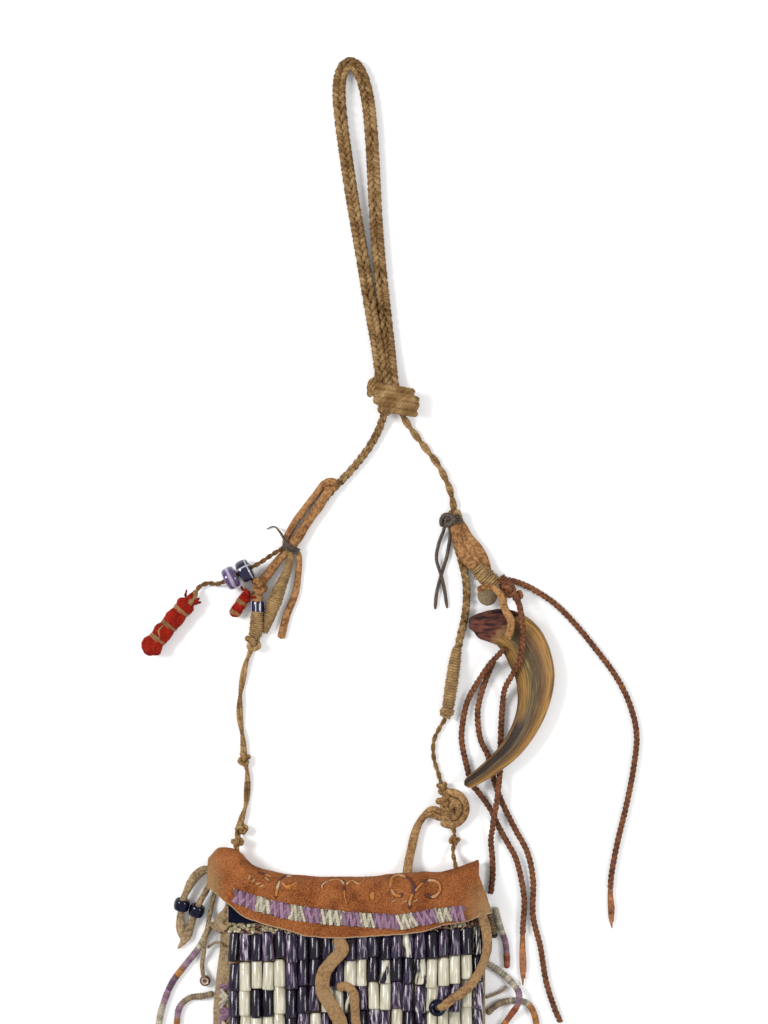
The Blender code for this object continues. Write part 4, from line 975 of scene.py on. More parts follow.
fall = np.linspace(0, 1, CORNER_ROWS)[:, None]
reach = np.linspace(0, 1, 26)[None]
outer_x, outer_y = corner_edge(CORNER_OUTER, fall)
inner_x, inner_y = corner_edge(CORNER_INNER, fall)
x = inner_x + (outer_x - inner_x) * reach
y = inner_y + (outer_y - inner_y) * reach
folds = 0.45 * np.sin(9 * reach + 5 * fall) + 0.35 * np.sin(17 * fall - 4 * reach)
z = 6.5 - 2.6 * reach - 0.8 * (1 - fall) + folds
ear_data = surface(np.stack([x, y, z], -1)[:, ::-1] * MM)
roughened(ear_data, 1.9 * MM, 0.7 * MM, 3.0)
roughened(ear_data, 0.8 * MM, 0.2 * MM, 5.0)
mark(ear_data, "scuff", 0.3 + 0.4 * reach.repeat(CORNER_ROWS, 0)[:, ::-1].ravel())
ear = dressed("mouth_corner", ear_data, [buckskin, buckskin_edge], "buckskin")
thickened(ear, FRONT_THICKNESS, 1.0, even=False)

# The left tie. A round thong out of the flap's open roll, threaded through two navy beads, with both
# pointed ends hanging free.
TIE_RADIUS = 1.1 * MM
NAVY_BEAD = (2.7 * MM, 3.9 * MM, 1.3 * MM)  # radius, length and hole
LEFT_TIE = ((-57.2, 40.6), (-57.9, 45), (-57.8, 49, 1.4), (-57.6, 51, 2.05), (-57.2, 53.7, 2.4),
            (-56.6, 56, 2.75), (-53.9, 61.5, 2.9), (-51.2, 64.6, 2.9), (-48.8, 65.6, 2.9),
            (-47.3, 63.2, 2.9), (-48.6, 59, 2.9), (-51.2, 54.3, 2.75), (-52.2, 51.6, 2.4),
            (-53.2, 49.2, 2.05), (-54.4, 46), (-56, 42), (-58.8, 38.2))
grey_thong = hide("grey_thong", hue(116, 94, 68), hue(196, 168, 130), hue(128, 114, 92), 0.9 * MM)
points = course(LEFT_TIE, TIE_RADIUS, 0.5 * MM)
run = np.linspace(0, 1, len(points))
to_end = np.minimum(run, 1 - run)
pointed = np.clip(to_end * 9 + 0.42, 0, 1)
girth = TIE_RADIUS * (1 + 0.1 * swells(points, 5 * MM, 1.0)) * pointed
girth = girth * (1 + 0.4 * np.exp(-((to_end - 0.1) / 0.05) ** 2))
spread_flat = girth * (1 + 0.5 * np.exp(-((run - 0.4) / 0.09) ** 2))
tie_data = laid_up([strand(points, spread_flat, TIE_RADIUS * 0.95 * pointed, sides=18)])
roughened(tie_data, 1.1 * MM, 0.12 * MM, 2.0)
tie = dressed("left_thong", tie_data, [grey_thong], "tan_thong", "left_tie")
tie_beads = [glass_bead(f"left_bead_{place}", centre, axis, *NAVY_BEAD, navy_glass, f"left_tie_bead_{place}",
                        belly=0.9)
             for place, centre, axis in (("outer", (-57.3, 53.6, 2.5), (1, 5, 0.7)),
                                         ("inner", (-52.2, 51.6, 2.5), (1.6, 5, 0.7)))]
declared(points)

# The beaded strip. A narrow strip of hide at the pouch's left edge, ending in a dark red bead with
# pale rings.
BEAD_STRIP = ((-46, 58), (-47.2, 53), (-48, 48.5, 2.8), (-48.7, 45, 3.7), (-49.5, 41, 3.7),
              (-49.8, 37, 2.2), (-50.5, 33), (-50.1, 30, 2.2), (-49.7, 28.4, 2.6))
RINGED_BEAD = (-49.4, 27.4, 1.35)
RINGED_BEAD_TOP = 2.6
RING_RADIUS = 0.95
points = course(BEAD_STRIP, 0.8 * MM, 0.5 * MM)
dressed("narrow_strip", laid_up([strand(points, 0.75 * MM, 0.6 * MM, 12)]), [grey_thong], "tan_thong",
        "bead_strip")
ringed, ringed_shader, ringed_place = new_finish("ringed_glass", 0.14, Coat_Weight=0.15)
from_top = ringed_place.vector("SUBTRACT", [v * MM for v in (*RINGED_BEAD[:2], RINGED_BEAD_TOP)])
spread = from_top.vector("LENGTH", output=1) / MM
ring_mask = (spread - RING_RADIUS).absolute().step(0.34, 0.14)
feed(ringed_shader, "Base Color", ring_mask.blend(hue(92, 18, 18), hue(206, 180, 156)))
glass_bead("ringed_glass_bead", RINGED_BEAD, UP, 1.9 * MM, 2.6 * MM, 0.5 * MM, ringed, "ringed_bead",
           "dark_red_glass")

# The fringes. Thin thongs at both sides, wrapped closely in dyed quill that changes colour along
# them, some with a small bare twig of hide, and a little wrapped tube at the flap's right end.
FRINGE_RADIUS = 1.1 * MM
WRAP_PITCH = 1.0 * MM
FRINGE_FLATNESS = 1.18
FRINGES = {
    "fringe_left_upper": (((-47.3, 46.8), (-49.5, 42.5), (-52, 38), (-56, 33), (-60.5, 27), (-63, 21.5),
                           (-65, 14.5), (-65, 8.5), (-63, 3)),
                          ((0.1, OLD_QUILL), (0.2, IVORY), (0.36, LAVENDER), (0.44, ORANGE),
                           (0.56, PURPLE_DYE), (0.66, LAVENDER), (0.8, IVORY), (1.0, PURPLE_DYE))),
    "fringe_left_lower": (((-46.5, 23), (-50.5, 22), (-54.5, 21.5), (-58, 18.5), (-59, 14), (-59, 8.5),
                           (-57, 3.5)),
                          ((0.42, OLD_QUILL), (0.6, LAVENDER), (0.85, ORANGE), (1.0, IVORY))),
    "fringe_right_upper": (((50, 52.5), (51.5, 46.5), (53.5, 40.5), (54, 35.5), (54, 31.5)),
                           ((0.45, IVORY), (0.75, LAVENDER), (1.0, RED_DYE))),
    "fringe_right_middle": (((47, 33.5), (51.5, 30.5), (55.5, 27, 1.5), (58, 23.5, 3.4), (57.5, 19.5, 3.8),
                             (55.5, 16, 2.0), (53, 12), (51.5, 7.5), (51, 3)),
                            ((0.38, IVORY), (0.52, LAVENDER), (0.72, RED_DYE), (0.86, ORANGE),
                             (1.0, IVORY))),
    "fringe_right_lower": (((47, 16), (51.5, 19.5), (56.5, 20.5), (61, 19.5), (63.5, 15.5), (64, 10),
                            (62, 5)),
                           ((0.3, OLD_QUILL), (0.5, IVORY), (0.85, ORANGE), (1.0, LAVENDER))),
}
TWIGS = (((-48.6, 38.6, 1.5), (-46.5, 40.4, 2.8), (-44.5, 41, 4.8), (-42.8, 39.8, 5.8)),
         ((46.5, 21.5, 1.6), (49.5, 22.5, 1.0), (52.4, 23.8, 0.8), (54.1, 25.5, 0.8)))
for name, (route, dye_ends) in FRINGES.items():
    points = course(route, FRINGE_RADIUS, 0.2 * MM)
    run = np.linspace(0, 1, len(points))
    turns = run * np.linalg.norm(np.diff(points, axis=0), axis=1).sum() / WRAP_PITCH
    wraps = np.abs(np.sin(math.pi * turns)) ** 0.5
    turn_number = np.floor(turns)
    spot = np.searchsorted([end for end, _ in dye_ends], run + 0.015 * np.sin(turn_number * 2.4))
    dyes = np.array([dye_ends[min(i, len(dye_ends) - 1)][1] for i in spot])
    dyes = np.where((turn_number % 3 == 1)[:, None], 0.6 * dyes + 0.4 * np.array(OLD_QUILL), dyes)
    dyes = dyes * (0.78 + 0.24 * np.sin(turn_number * 1.7))[:, None]
    girth = FRINGE_RADIUS * (0.7 + 0.2 * wraps) * (1 + 0.12 * swells(points, 3 * MM, 1.0))
    fringe_data = laid_up([strand(points, girth * FRINGE_FLATNESS, girth, dye=dyes)])
    piece = dressed(name.replace("fringe", "quilled_fringe"), fringe_data, [quill], "quill", name)
    declared(points)
twigs = [strand(course(route, 0.5 * MM, 0.5 * MM), 0.5 * MM, dye=OLD_QUILL) for route in TWIGS]
dressed("fringe_twigs", laid_up(twigs), [quill], "quill")
SIDE_TUBE = ((47.7, 51), (49, 46.5), (50, 42))
points = course(SIDE_TUBE, 1.4 * MM, 0.2 * MM)
run = np.linspace(0, 1, len(points))
tube_dyes = np.where(run[:, None] > 0.84, dye_of(34, 28, 22), dye_of(142, 120, 82))
tube_dyes = tube_dyes * (0.75 + 0.35 * np.sin(run * 55))[:, None]
tube_girth = 1.35 * MM * (0.88 + 0.12 * np.sin(run * 48))
tube_data = laid_up([strand(points, tube_girth, sides=16, lobes=5, groove=0.3, lay=math.tau / (9 * MM),
                            dye=tube_dyes)])
roughened(tube_data, 0.9 * MM, 0.2 * MM, 2.0)
dressed("side_wrapping", tube_data, [quill], "cream_thread", "side_tube")

# The hanging loop. Five yarns of twisted plant fibre in one plait, which is doubled on itself and tied
# at its foot in one large knot.
YARN_RADIUS = 0.88 * MM
BRAID_DIAMETER = 3.8 * MM
BRAID_PITCH = 11.5 * MM
KNOT_CENTRE = (15.2, 229.6, 4.9)
KNOT_RADIUS = 8.3
KNOT_TURNS = 2.6
CROWN_CENTRE = (10.6, 228.5, 4.6)
HANGING_LOOP = ((12.0, 227, 4.4), (11.2, 233, 3.8), (9.7, 244.5, 2.8), (7.4, 257.5, 2.4), (5.2, 271),
                (3, 284), (0.7, 297.5), (-1.3, 311), (-2.9, 323), (-3.5, 333), (-2.3, 339.3),
                (0.4, 341.6), (3.4, 339), (5.9, 331.5), (7.4, 319.5), (8.3, 304.5), (9.1, 289),
                (10.3, 273.5), (11.9, 258.5), (13.4, 245, 1.9), (14.6, 233, 3.0), (15.4, 227, 4.0))
fibre, fibre_shader, fibre_place = new_finish("plant_fibre", 0.85, Specular_IOR_Level=0.2)
fibre_grain = own(fibre_place, "grain")
hairs = cloudy(fibre_grain, 0.2 * MM, 3.0, (0.12, 1.0, 1.0))
age = cloudy(fibre_place, 5 * MM, 3.0)
fibre_tone = (hairs.step(0.3, 0.7) * 0.7 + age.step(0.35, 0.7) * 0.35).ramp(
    [(0.0, hue(52, 32, 14)), (0.45, hue(148, 108, 62)), (1.0, hue(222, 188, 136))])
# The fibre's colour is multiplied by its points' dyes and by painted shade, darker where a plaited yarn dips
# under.
feed(fibre_shader, "Base Color", fibre_tone.dyed_and_shaded(own(fibre_place, "dye")))
raised(fibre_shader, hairs, 0.2 * MM)


def plaited(points, wide, high, yarn, pitch, wobble, count=3):
    """Yarns plaited along a line: each swings from side to side, over one and under the next."""
    run, across, upward = frames(points)
    phase = math.tau * run / pitch + wobble * swells(points, 9 * MM, 6.0)
    yarns = []
    for k in range(count):
        swing = phase + math.tau * k / count
        line = (points + across * ((wide - yarn) * np.sin(swing))[:, None]
                + upward * ((high - yarn) * np.sin(2 * swing))[:, None])
        # Painted shade: each yarn is darker where it dips under the others and lighter where it rides on
        # top.
        painted_shade = (0.7 + 0.3 * np.sin(2 * swing))[:, None] * np.ones(3)
        yarns.append(strand(line, yarn, lobes=2, groove=0.26, lay=math.tau / (3.2 * MM), dye=painted_shade))
    return yarns


def twisted(points, radius, pitch, **looks):
    """Two plies laid round each other along a line."""
    run, across, upward = frames(points)
    ply = radius * 0.56
    yarns = []
    for start in (0.0, 0.5):
        turn = math.tau * (run / pitch + start)
        line = points + (across * np.cos(turn)[:, None] + upward * np.sin(turn)[:, None]) * (radius - ply)
        yarns.append(strand(line, ply, lobes=2, groove=0.22, lay=math.tau / (2.4 * MM), **looks))
    return yarns


loop_points = course(HANGING_LOOP, BRAID_DIAMETER / 2, 0.5 * MM)
loop_yarns = plaited(loop_points, 2.45 * MM, 1.85 * MM, YARN_RADIUS, BRAID_PITCH, 2.0, count=5)
loop = dressed("fibre_loop", laid_up(loop_yarns), [fibre], "plant_fibre", "hanging_loop")
coil = np.linspace(0, KNOT_TURNS, 150)
around = math.tau * coil + 0.5
knot_path = np.stack([KNOT_CENTRE[0] + (KNOT_RADIUS - 1.1 * coil) * np.cos(around) + 0.5 * coil,
                      KNOT_CENTRE[1] - 2.9 * coil - 0.24 * (8 - coil) * np.cos(around),
                      KNOT_CENTRE[2] + 3.0 * np.sin(around)], -1) * MM
crown = np.linspace(0, 1, 60)
crown_path = np.stack([CROWN_CENTRE[0] + 3.4 * np.cos(math.pi * 1.15 * crown + 2.9),
                       CROWN_CENTRE[1] + 4.0 * np.sin(math.pi * crown),
                       CROWN_CENTRE[2] + 2.6 * np.sin(math.tau * crown)], -1) * MM
knot_yarns = [strand(path + (0, side * 0.95 * MM, 0), 1.25 * MM, lobes=3, groove=0.2, sides=14,
                     lay=math.tau / (4.5 * MM), pole=(0, 1, 0))
              for path in (knot_path, crown_path) for side in (-1, 1)]
loop_knot = dressed("fibre_knot", laid_up(knot_yarns), [fibre], "plant_fibre")
declared(loop_points)

# The left suspension. A plaited cord from the knot, hitched into a doubled thong, with a thinner
# two-ply cord below that is knotted into the flap.
LEFT_CORD_UPPER = ((12.4, 223.2, 3.6), (11.8, 220.9, 2.8), (10, 216), (7, 210.5), (2.5, 204.5),
                   (-1.5, 200), (-6, 195.5), (-10, 190.5), (-14, 185.5), (-17, 180.5),
                   (-18.5, 178.3, 2.4))
LEFT_CORD_LOWER = ((-32.5, 144, 2.0), (-34, 140), (-35.5, 136), (-36.5, 131), (-37.5, 124),
                   (-37.5, 117.5), (-36.5, 110), (-36, 103.5), (-35, 98.5), (-35, 93), (-35.5, 87.5),
                   (-37.2, 82), (-38.2, 77.5, 2.2), (-38.3, 73.4, 4.6), (-38.2, 69.5, 6.0))
LEFT_KNOTS = ((-32.8, 143.4, 2.9, 2.9, 0.95, 0.5), (-36, 103.5, 2.1, 2.3, 0.75, 0.0),
              (-36.8, 79.8, 2.3, 2.1, 0.75, 1.3), (-38.2, 75.2, 4.2, 2.2, 0.75, 2.6))
PLAIT_HALF = (1.5 * MM, 1.3 * MM)


def small_knot(x, y, z, size, yarn, seed, **looks):
    """An overhand knot drawn tight: one yarn through itself three times, as a ball. Its place, size and
    yarn are in millimetres."""
    turn = np.linspace(0, math.tau, 70)
    ball = np.stack([np.sin(turn) + 2 * np.sin(2 * turn), np.cos(turn) - 2 * np.cos(2 * turn),
                     -1.7 * np.sin(3 * turn)], -1) / 3
    spin = Vector((math.cos(seed), math.sin(seed), 0.6)).to_track_quat("Z", "Y").to_matrix()
    yarn *= MM
    line = ball @ np.array(spin).T * (size * MM - yarn * 0.5) + np.array((x, y, z)) * MM
    line[:, 2] = np.maximum(line[:, 2], yarn)
    return strand(line, yarn, pole=tuple(spin @ Vector((0, 0, 1))), lobes=2, groove=0.2,
                  lay=math.tau / (2.4 * MM), **looks)


upper_points = course(LEFT_CORD_UPPER, 1.5 * MM, THONG_STEP)
upper_yarns = plaited(upper_points, *PLAIT_HALF, 0.78 * MM, 8.5 * MM, 1.0)
upper = dressed("left_plait", laid_up(upper_yarns), [fibre], "plant_fibre", "left_cord_upper")
declared(upper_points)
lower_points = course(LEFT_CORD_LOWER, 0.85 * MM, 0.4 * MM)
lower = dressed("left_two_ply", laid_up(twisted(lower_points, 1.2 * MM, 26 * MM)), [fibre], "plant_fibre",
                "left_cord_lower")
lower_knots = dressed("left_two_ply_knots", laid_up([small_knot(*knot) for knot in LEFT_KNOTS]), [fibre],
                      "plant_fibre")
declared(lower_points)

# The left hitch. An orange-tan thong doubled over the plait, drawn down beside it and bound to it
# with a dark sinew tie, whose stiff end curls up.
ROUND_THONG = 1.2 * MM
LEFT_HITCH = ((-8, 198.7, 1.2), (-10.2, 195.7), (-13.4, 191.5), (-16.9, 186.9), (-20.2, 181.8),
              (-21.8, 178, 1.6), (-21.2, 175.2, 2.4))
HITCH_LEG = ((-6.0, 197.2, 2.6), (-9.4, 191.4, 2.3), (-13.0, 186.2, 2.3), (-16.6, 180.9, 2.4),
             (-19.0, 177.2, 2.7), (-20.2, 174.8, 2.6))
HITCH_HEAD = (-6.4, 197.2, 2.4)
SINEW_CURL = ((-21, 176.5, 3.6), (-22, 178.5, 4.2), (-24, 181.5, 2.8), (-26, 183, 0.8), (-28.5, 182, 0.5))
orange_thong = hide("orange_thong", hue(118, 78, 48), hue(202, 150, 100), hue(132, 108, 80), 1.0 * MM)
dark_thong, dark_shader, dark_place = new_finish("dark_sinew", 0.6)
dark_streaks = cloudy(dark_place, 0.7 * MM)
feed(dark_shader, "Base Color", dark_streaks.step(0.3, 0.7).blend(hue(34, 24, 18), hue(100, 80, 62)))
raised(dark_shader, dark_streaks, 0.15 * MM)
hitch_points = course(LEFT_HITCH, ROUND_THONG, THONG_STEP)
head = np.linspace(0, math.tau, 40)
hitch_head = np.stack([HITCH_HEAD[0] + 1.7 * np.cos(head), HITCH_HEAD[1] + 1.3 * np.sin(head),
                       HITCH_HEAD[2] + 1.5 * np.sin(head + 0.6)], -1) * MM
hitch_head[:, 2] = np.maximum(hitch_head[:, 2], 0.9 * MM)
hitch_leg = course(HITCH_LEG, 0.0, THONG_STEP)
dressed("hitched_thong", laid_up([
    strand(hitch_points, ROUND_THONG * (1 + 0.12 * swells(hitch_points, 5 * MM)), sides=14),
    strand(hitch_head, 1.3 * MM, sides=14, pole=(0.5, -0.4, 0.8)),
    strand(hitch_leg, 1.55 * MM * (1 + 0.2 * swells(hitch_leg, 4 * MM)), 1.4 * MM, sides=18, square=0.9)]),
    [orange_thong], "tan_thong", "left_hitch")


def winding(points, girth, thread, turns, seed=0.0, dye=(1, 1, 1)):
    """A thread wound round a line, at a distance of girth from it."""
    count = int(turns * 14)
    run = np.linspace(0, len(points) - 1, count)
    line = np.stack([np.interp(run, np.arange(len(points)), points[:, k]) for k in range(3)], -1)
    reach = np.interp(run, np.arange(len(points)), np.broadcast_to(girth, len(points)))
    _, across, upward = frames(line)
    spin = math.tau * turns * np.linspace(0, 1, count)
    reach = reach * (1 + 0.05 * np.sin(spin * 0.37 + seed))
    coil = line + across * (reach * np.cos(spin))[:, None] + upward * (reach * np.sin(spin))[:, None]
    coil[:, 2] = np.maximum(coil[:, 2], thread)
    return strand(coil, thread, sides=6, dye=dye, pole=tuple(line[-1] - line[0]))


def bound(start, end, halves, thread, turns):
    """A thread wound round a short line from start to end, which is as thick as halves say."""
    line = np.linspace(start, end, 12) * MM
    girth = np.interp(np.linspace(0, 1, 12), np.linspace(0, 1, len(halves)), halves) * MM
    return winding(line, girth, thread, turns)


tie_wraps = bound((-19.6, 176.6, 2.7), (-20.6, 174.4, 2.7), (2.7, 2.9, 2.7), 0.4 * MM, 4)
curl_points = course(SINEW_CURL, 0.5 * MM, 0.3 * MM)
curl_taper = 0.55 * MM * np.linspace(1.1, 0.35, len(curl_points))
dressed("sinew_binding", laid_up([tie_wraps, strand(curl_points, curl_taper, sides=8)]), [dark_thong],
        "dark_sinew", "sinew_tie")

# The wrapped bundle and the thong's tails. A tapering bundle close-wound in cream thread, a flat tail
# with a square end, and an orange thong with a knot that carries the striped bead.
WRAPPED_BUNDLE = ((-19.8, 175.0, 2.0), (-20.2, 172.3, 1.8), (-21, 168.5, 2.2), (-23.5, 162.5, 2.6),
                  (-26.5, 154.5, 2.1), (-29, 146.5, 1.2))
WRAPPED_BUNDLE_HALF = (1.2, 1.5, 2.1, 2.6, 2.1, 1.1)
THONG_TAIL = ((-18.6, 175.6, 2.2), (-17.2, 172.5, 1.4), (-17.5, 166.5, 0.8), (-18.5, 160, 0.8),
              (-21.5, 152.5, 0.8), (-23.5, 144.5, 0.8))
KNOTTED_THONG = ((-20.8, 175.4, 2.4), (-22.5, 173.5, 1.8), (-25, 170.5, 1.6), (-28, 166.5, 1.8),
                 (-31, 162.5, 2.3), (-31.5, 158, 2.3), (-31.5, 152.5, 2.3))
thread, thread_shader, thread_place = new_finish("cream_thread", 0.8, Specular_IOR_Level=0.2)
thread_grain = own(thread_place, "grain")
thread_hairs = cloudy(thread_grain, 0.2 * MM, 2.0, (0.25, 1.0, 1.0))
grime = cloudy(thread_place, 4 * MM, 3.0)
feed(thread_shader, "Base Color", (thread_hairs.step(0.25, 0.7) * 0.6 + grime.step(0.3, 0.75) * 0.45).blend(
    hue(84, 56, 30), hue(208, 170, 116)))
raised(thread_shader, thread_hairs, 0.1 * MM)


def close_wound(axis, halves, thread_radius, seed=0.0):
    """A tapering core and the thread that covers it, turn beside turn."""
    points = course(axis, 0.0, 0.3 * MM)
    girth = np.interp(np.linspace(0, 1, len(points)), np.linspace(0, 1, len(halves)), halves) * MM
    length = np.linalg.norm(np.diff(points, axis=0), axis=1).sum()
    points[:, 2] = np.maximum(points[:, 2], girth + 0.05 * MM)
    core = strand(points, girth - thread_radius, sides=14, dye=(0.7, 0.65, 0.6))
    wound = winding(points, girth - thread_radius * 0.9, thread_radius, length / (2.1 * thread_radius), seed)
    return [core, wound]


dressed("wound_bundle", laid_up(close_wound(WRAPPED_BUNDLE, WRAPPED_BUNDLE_HALF, 0.36 * MM)), [thread],
        "cream_thread", "wrapped_bundle")
tail_points = course(THONG_TAIL, 0.0, 0.5 * MM)
tail_half = 1.2 * MM * np.linspace(0.8, 1.15, len(tail_points))
tail = dressed("flat_tail", laid_up([strand(tail_points, tail_half, 0.75 * MM, 14, square=0.75)]),
               [orange_thong], "tan_thong", "thong_tail")
declared(tail_points)
knotted_points = course(KNOTTED_THONG, ROUND_THONG, THONG_STEP)
dressed("knotted_orange_thong", laid_up([
    strand(knotted_points, np.linspace(1.3, 1.95, len(knotted_points)) * MM, 1.05 * MM, 18, square=0.9),
    small_knot(-30.6, 163.0, 2.9, 2.9, 1.2, 0.4)]), [orange_thong], "tan_thong", "knotted_thong")
striped, striped_shader, striped_place = new_finish("striped_glass", 0.12, Coat_Weight=0.15)
stripe = (own(striped_place, "grain").part(1) * 9.0).sine().step(0.72, 0.86)
feed(striped_shader, "Base Color", stripe.blend(hue(14, 18, 66), hue(214, 214, 218)))
glass_bead("striped_glass_bead", (-31.5, 155.6, 2.35), (0, 1, 0), 2.3 * MM, 3.7 * MM, 1.45 * MM, striped,
           "striped_bead", belly=0.45)
LEFT_WHIPPING = ((-31.5, 153.9, 2.3), (-31.7, 149.5, 2.4), (-32.2, 145.4, 2.3))
left_wound = close_wound(LEFT_WHIPPING, (2.2, 2.4, 2.3), 0.34 * MM, 1.0)
dressed("left_thread_whipping", laid_up(left_wound), [thread], "cream_thread", "left_whipping")

# The pendant. A thin twisted cord with a navy bead and a striped lavender bead, both wound glass, that
# ends in a long roll of red wool, tied round with cream thread. A shorter roll lies beside it.
PENDANT_CORD = ((-20.8, 176.3, 3.0), (-23, 175.4, 3.2), (-27, 173, 3.8), (-30.5, 170.6, 4.0),
                (-33, 169.3, 4.0), (-38, 166.7, 4.0), (-43, 164.1, 4.0), (-45.5, 163.3, 3.0),
                (-48.5, 163.6, 1.8), (-51.5, 162.2, 1.5), (-53, 159.5, 2.6))
SMALL_RED_BUNDLE = ((-34.1, 160.9, 2.3), (-35.6, 158.8, 2.1), (-37.5, 156, 2.1), (-39.5, 153, 2.1),
                    (-40.2, 152, 2.1))
SMALL_RED_HALF = (1.2, 2.0, 1.9, 2.1, 1.3)
LONG_RED_BUNDLE = ((-53.7, 158.6, 3.4), (-55.6, 156.5, 3.4), (-57.2, 154.5, 3.4), (-59.4, 152, 3.4),
                   (-61.3, 149.6, 3.4), (-63.5, 147, 3.4), (-65.4, 144.6, 3.4), (-67.4, 142.2, 3.4),
                   (-69.5, 139.5, 3.4))
LONG_RED_HALF = (1.6, 3.3, 2.7, 3.4, 2.7, 3.4, 2.8, 4.0, 2.9)
ROLL_OPENING = (0.63, 0.75, 0)
LONG_ROLL_NECK = ((-52.6, 160.6, 2.6), (-53.6, 158.0, 5.2), (-54.4, 156.4, 6.0))
LONG_ROLL_CROSSING = ((-63.2, 149.4, 6.6), (-64.8, 147.6, 6.9), (-64.6, 145.4, 6.8), (-66.6, 145.2, 6.6))
PENDANT_BEAD = (3.9 * MM, 4.5 * MM, 1.2 * MM)  # radius, length and hole
pendant_points = course(PENDANT_CORD, 0.9 * MM, 0.35 * MM)
pendant = dressed("pendant_twist", laid_up(twisted(pendant_points, 0.9 * MM, 5 * MM, dye=(0.62, 0.55, 0.5))),
                  [fibre], "plant_fibre", "pendant_cord")
lined, lined_shader, lined_place = new_finish("lined_navy_glass", 0.12, Coat_Weight=0.15)
lined_grain = own(lined_place, "grain")
white_ring = (lined_grain.part(0) - 0.62).absolute().step(0.13, 0.06)
white_line = (lined_grain.part(1) - 0.35).absolute().step(0.09, 0.04)
lined_mask = white_ring.maths("MAXIMUM", white_ring, white_line)
feed(lined_shader, "Base Color", (lined_mask * 0.85).blend(hue(20, 20, 56), hue(206, 206, 216)))
lilac, lilac_shader, lilac_place = new_finish("lilac_glass", 0.14, Coat_Weight=0.15)
lilac_bands = (own(lilac_place, "grain").part(0) * 5.5 + cloudy(lilac_place, 3 * MM) * 3.0).sine()
feed(lilac_shader, "Base Color", lilac_bands.step(-0.3, 0.9).blend(hue(84, 68, 108), hue(178, 164, 190)))
navy_pendant = glass_bead("lined_navy_bead", (-35.6, 167.95, 4.0), (5, 2.6, 0), *PENDANT_BEAD, lined,
                          "navy_bead", belly=0.75)
lilac_pendant = glass_bead("striped_lilac_bead", (-40.4, 165.45, 4.0), (5, 2.6, 0), *PENDANT_BEAD, lilac,
                           "lavender_bead", "lavender_glass", belly=0.75)

red_wool, red_shader, red_place = new_finish("red_wool", 0.95, Specular_IOR_Level=0.1)
red_fluff = cloudy(red_place, 0.45 * MM, 4.0)
red_worn = cloudy(red_place, 3 * MM, 3.0)
feed(red_shader, "Base Color", (red_fluff.step(0.3, 0.75) * 0.7 + red_worn.step(0.3, 0.7) * 0.3).blend(
    hue(98, 14, 10), hue(206, 56, 38)))
raised(red_shader, red_fluff, 0.4 * MM)


def wool_roll(name, axis, halves, node, seed):
    """A roll of wool cloth, pulled in where it is tied and ragged at its open end."""
    points = course(axis, 0.0, 0.3 * MM)
    spots = np.linspace(0, 1, len(halves))
    girth = np.interp(np.linspace(0, 1, len(points)), spots, halves) * MM
    girth = np.convolve(np.pad(girth, 2, "edge"), np.ones(5) / 5, "valid")
    points[:, 2] = np.maximum(points[:, 2], girth.max() * 0.99)
    data = laid_up([strand(points, girth, girth * 0.97, sides=36)])
    roughened(data, 1.7 * MM, 0.35 * MM, seed)
    roughened(data, 0.7 * MM, 0.12 * MM, seed + 3)
    piece = dressed(name, data, [red_wool], "red_wool", node)
    return points, girth


def petals(centre, count, length, seed):
    """Ragged corners of cloth that stand out round the open end of a roll."""
    centre, along = np.array(centre) * MM, np.array(Vector(ROLL_OPENING).normalized())
    side = np.cross(along, UP)
    up = np.cross(side, along)
    strips = []
    for k in range(count):
        spin = math.tau * (k + 0.3 * math.sin(seed + 5 * k)) / count
        out = side * math.cos(spin) + up * max(-0.3, math.sin(spin))
        reach = length * (0.7 + 0.5 * abs(math.sin(seed + 2.1 * k)))
        way = np.linspace(0, 1, 7)[:, None]
        line = centre + out * (1.9 * MM + way * 1.5 * MM) + along * way * reach * MM
        strips.append(strand(line, 1.5 * MM * np.linspace(1, 0.3, 7), 0.4 * MM, 10, pole=tuple(out)))
    return strips


long_roll = wool_roll("long_wool_roll", LONG_RED_BUNDLE, LONG_RED_HALF, "long_red_bundle", 1.0)
small_roll = wool_roll("small_wool_roll", SMALL_RED_BUNDLE, SMALL_RED_HALF, "small_red_bundle", 6.0)
ragged = laid_up(petals((-54.6, 157.6, 3.4), 6, 2.6, 0.5) + petals((-35.0, 159.8, 2.3), 4, 1.2, 2.0))
roughened(ragged, 1.2 * MM, 0.25 * MM, 8.0)
dressed("ragged_wool_ends", ragged, [red_wool], "red_wool")
ties = []
for (places, girths), spots in ((long_roll, (0.24, 0.5, 0.74)), (small_roll, (0.45, 0.85))):
    for number, spot in enumerate(spots):
        middle = int(spot * (len(places) - 1))
        span = slice(max(0, middle - 2), min(len(places), middle + 3))
        ties.append(winding(places[span], girths[span].mean() + 0.1 * MM, 0.2 * MM, 2.3, number))
ties.append(strand(course(LONG_ROLL_CROSSING, 0, 0.4 * MM), 0.25 * MM, sides=6))
ties += close_wound(LONG_ROLL_NECK, (1.0, 1.3, 0.7), 0.2 * MM, 3.0)
dressed("wool_roll_ties", laid_up(ties), [thread], "cream_thread")
declared(pendant_points)

# The right suspension. A two-ply cord from the knot, tied with a dark thong whose two tails hang, a
# doubled tan thong whipped with thread, a small disc of hide, a plaited cord to a whipped stick, and a
# thin cord that is tied to a tan thong at the flap.
RIGHT_CORD_UPPER = ((17.4, 223.4, 3.6), (18.3, 220.9, 2.7), (21.5, 216), (26, 210), (30.5, 204),
                    (34, 197), (35.5, 191.5), (36, 186.5))
DARK_THONG = ((33.6, 154.8), (32.6, 161.5), (31.4, 166.6, 1.9), (29.9, 171.7, 1.2), (30.6, 176.8),
              (32.2, 181.2, 1.6), (33.4, 183.6, 2.6), (34.6, 181.4, 1.6), (33.9, 175.1), (33.0, 171.0),
              (31.3, 165.6), (29.9, 159.8), (29.4, 154.4))
SINEW_LUMP = ((31.9, 182.9, 1.4), (31.8, 185.6, 2.4), (33.2, 186.9, 3.6), (35.6, 185.6, 5.0),
              (33.8, 183.6, 4.4), (32.9, 185.2, 3.4))
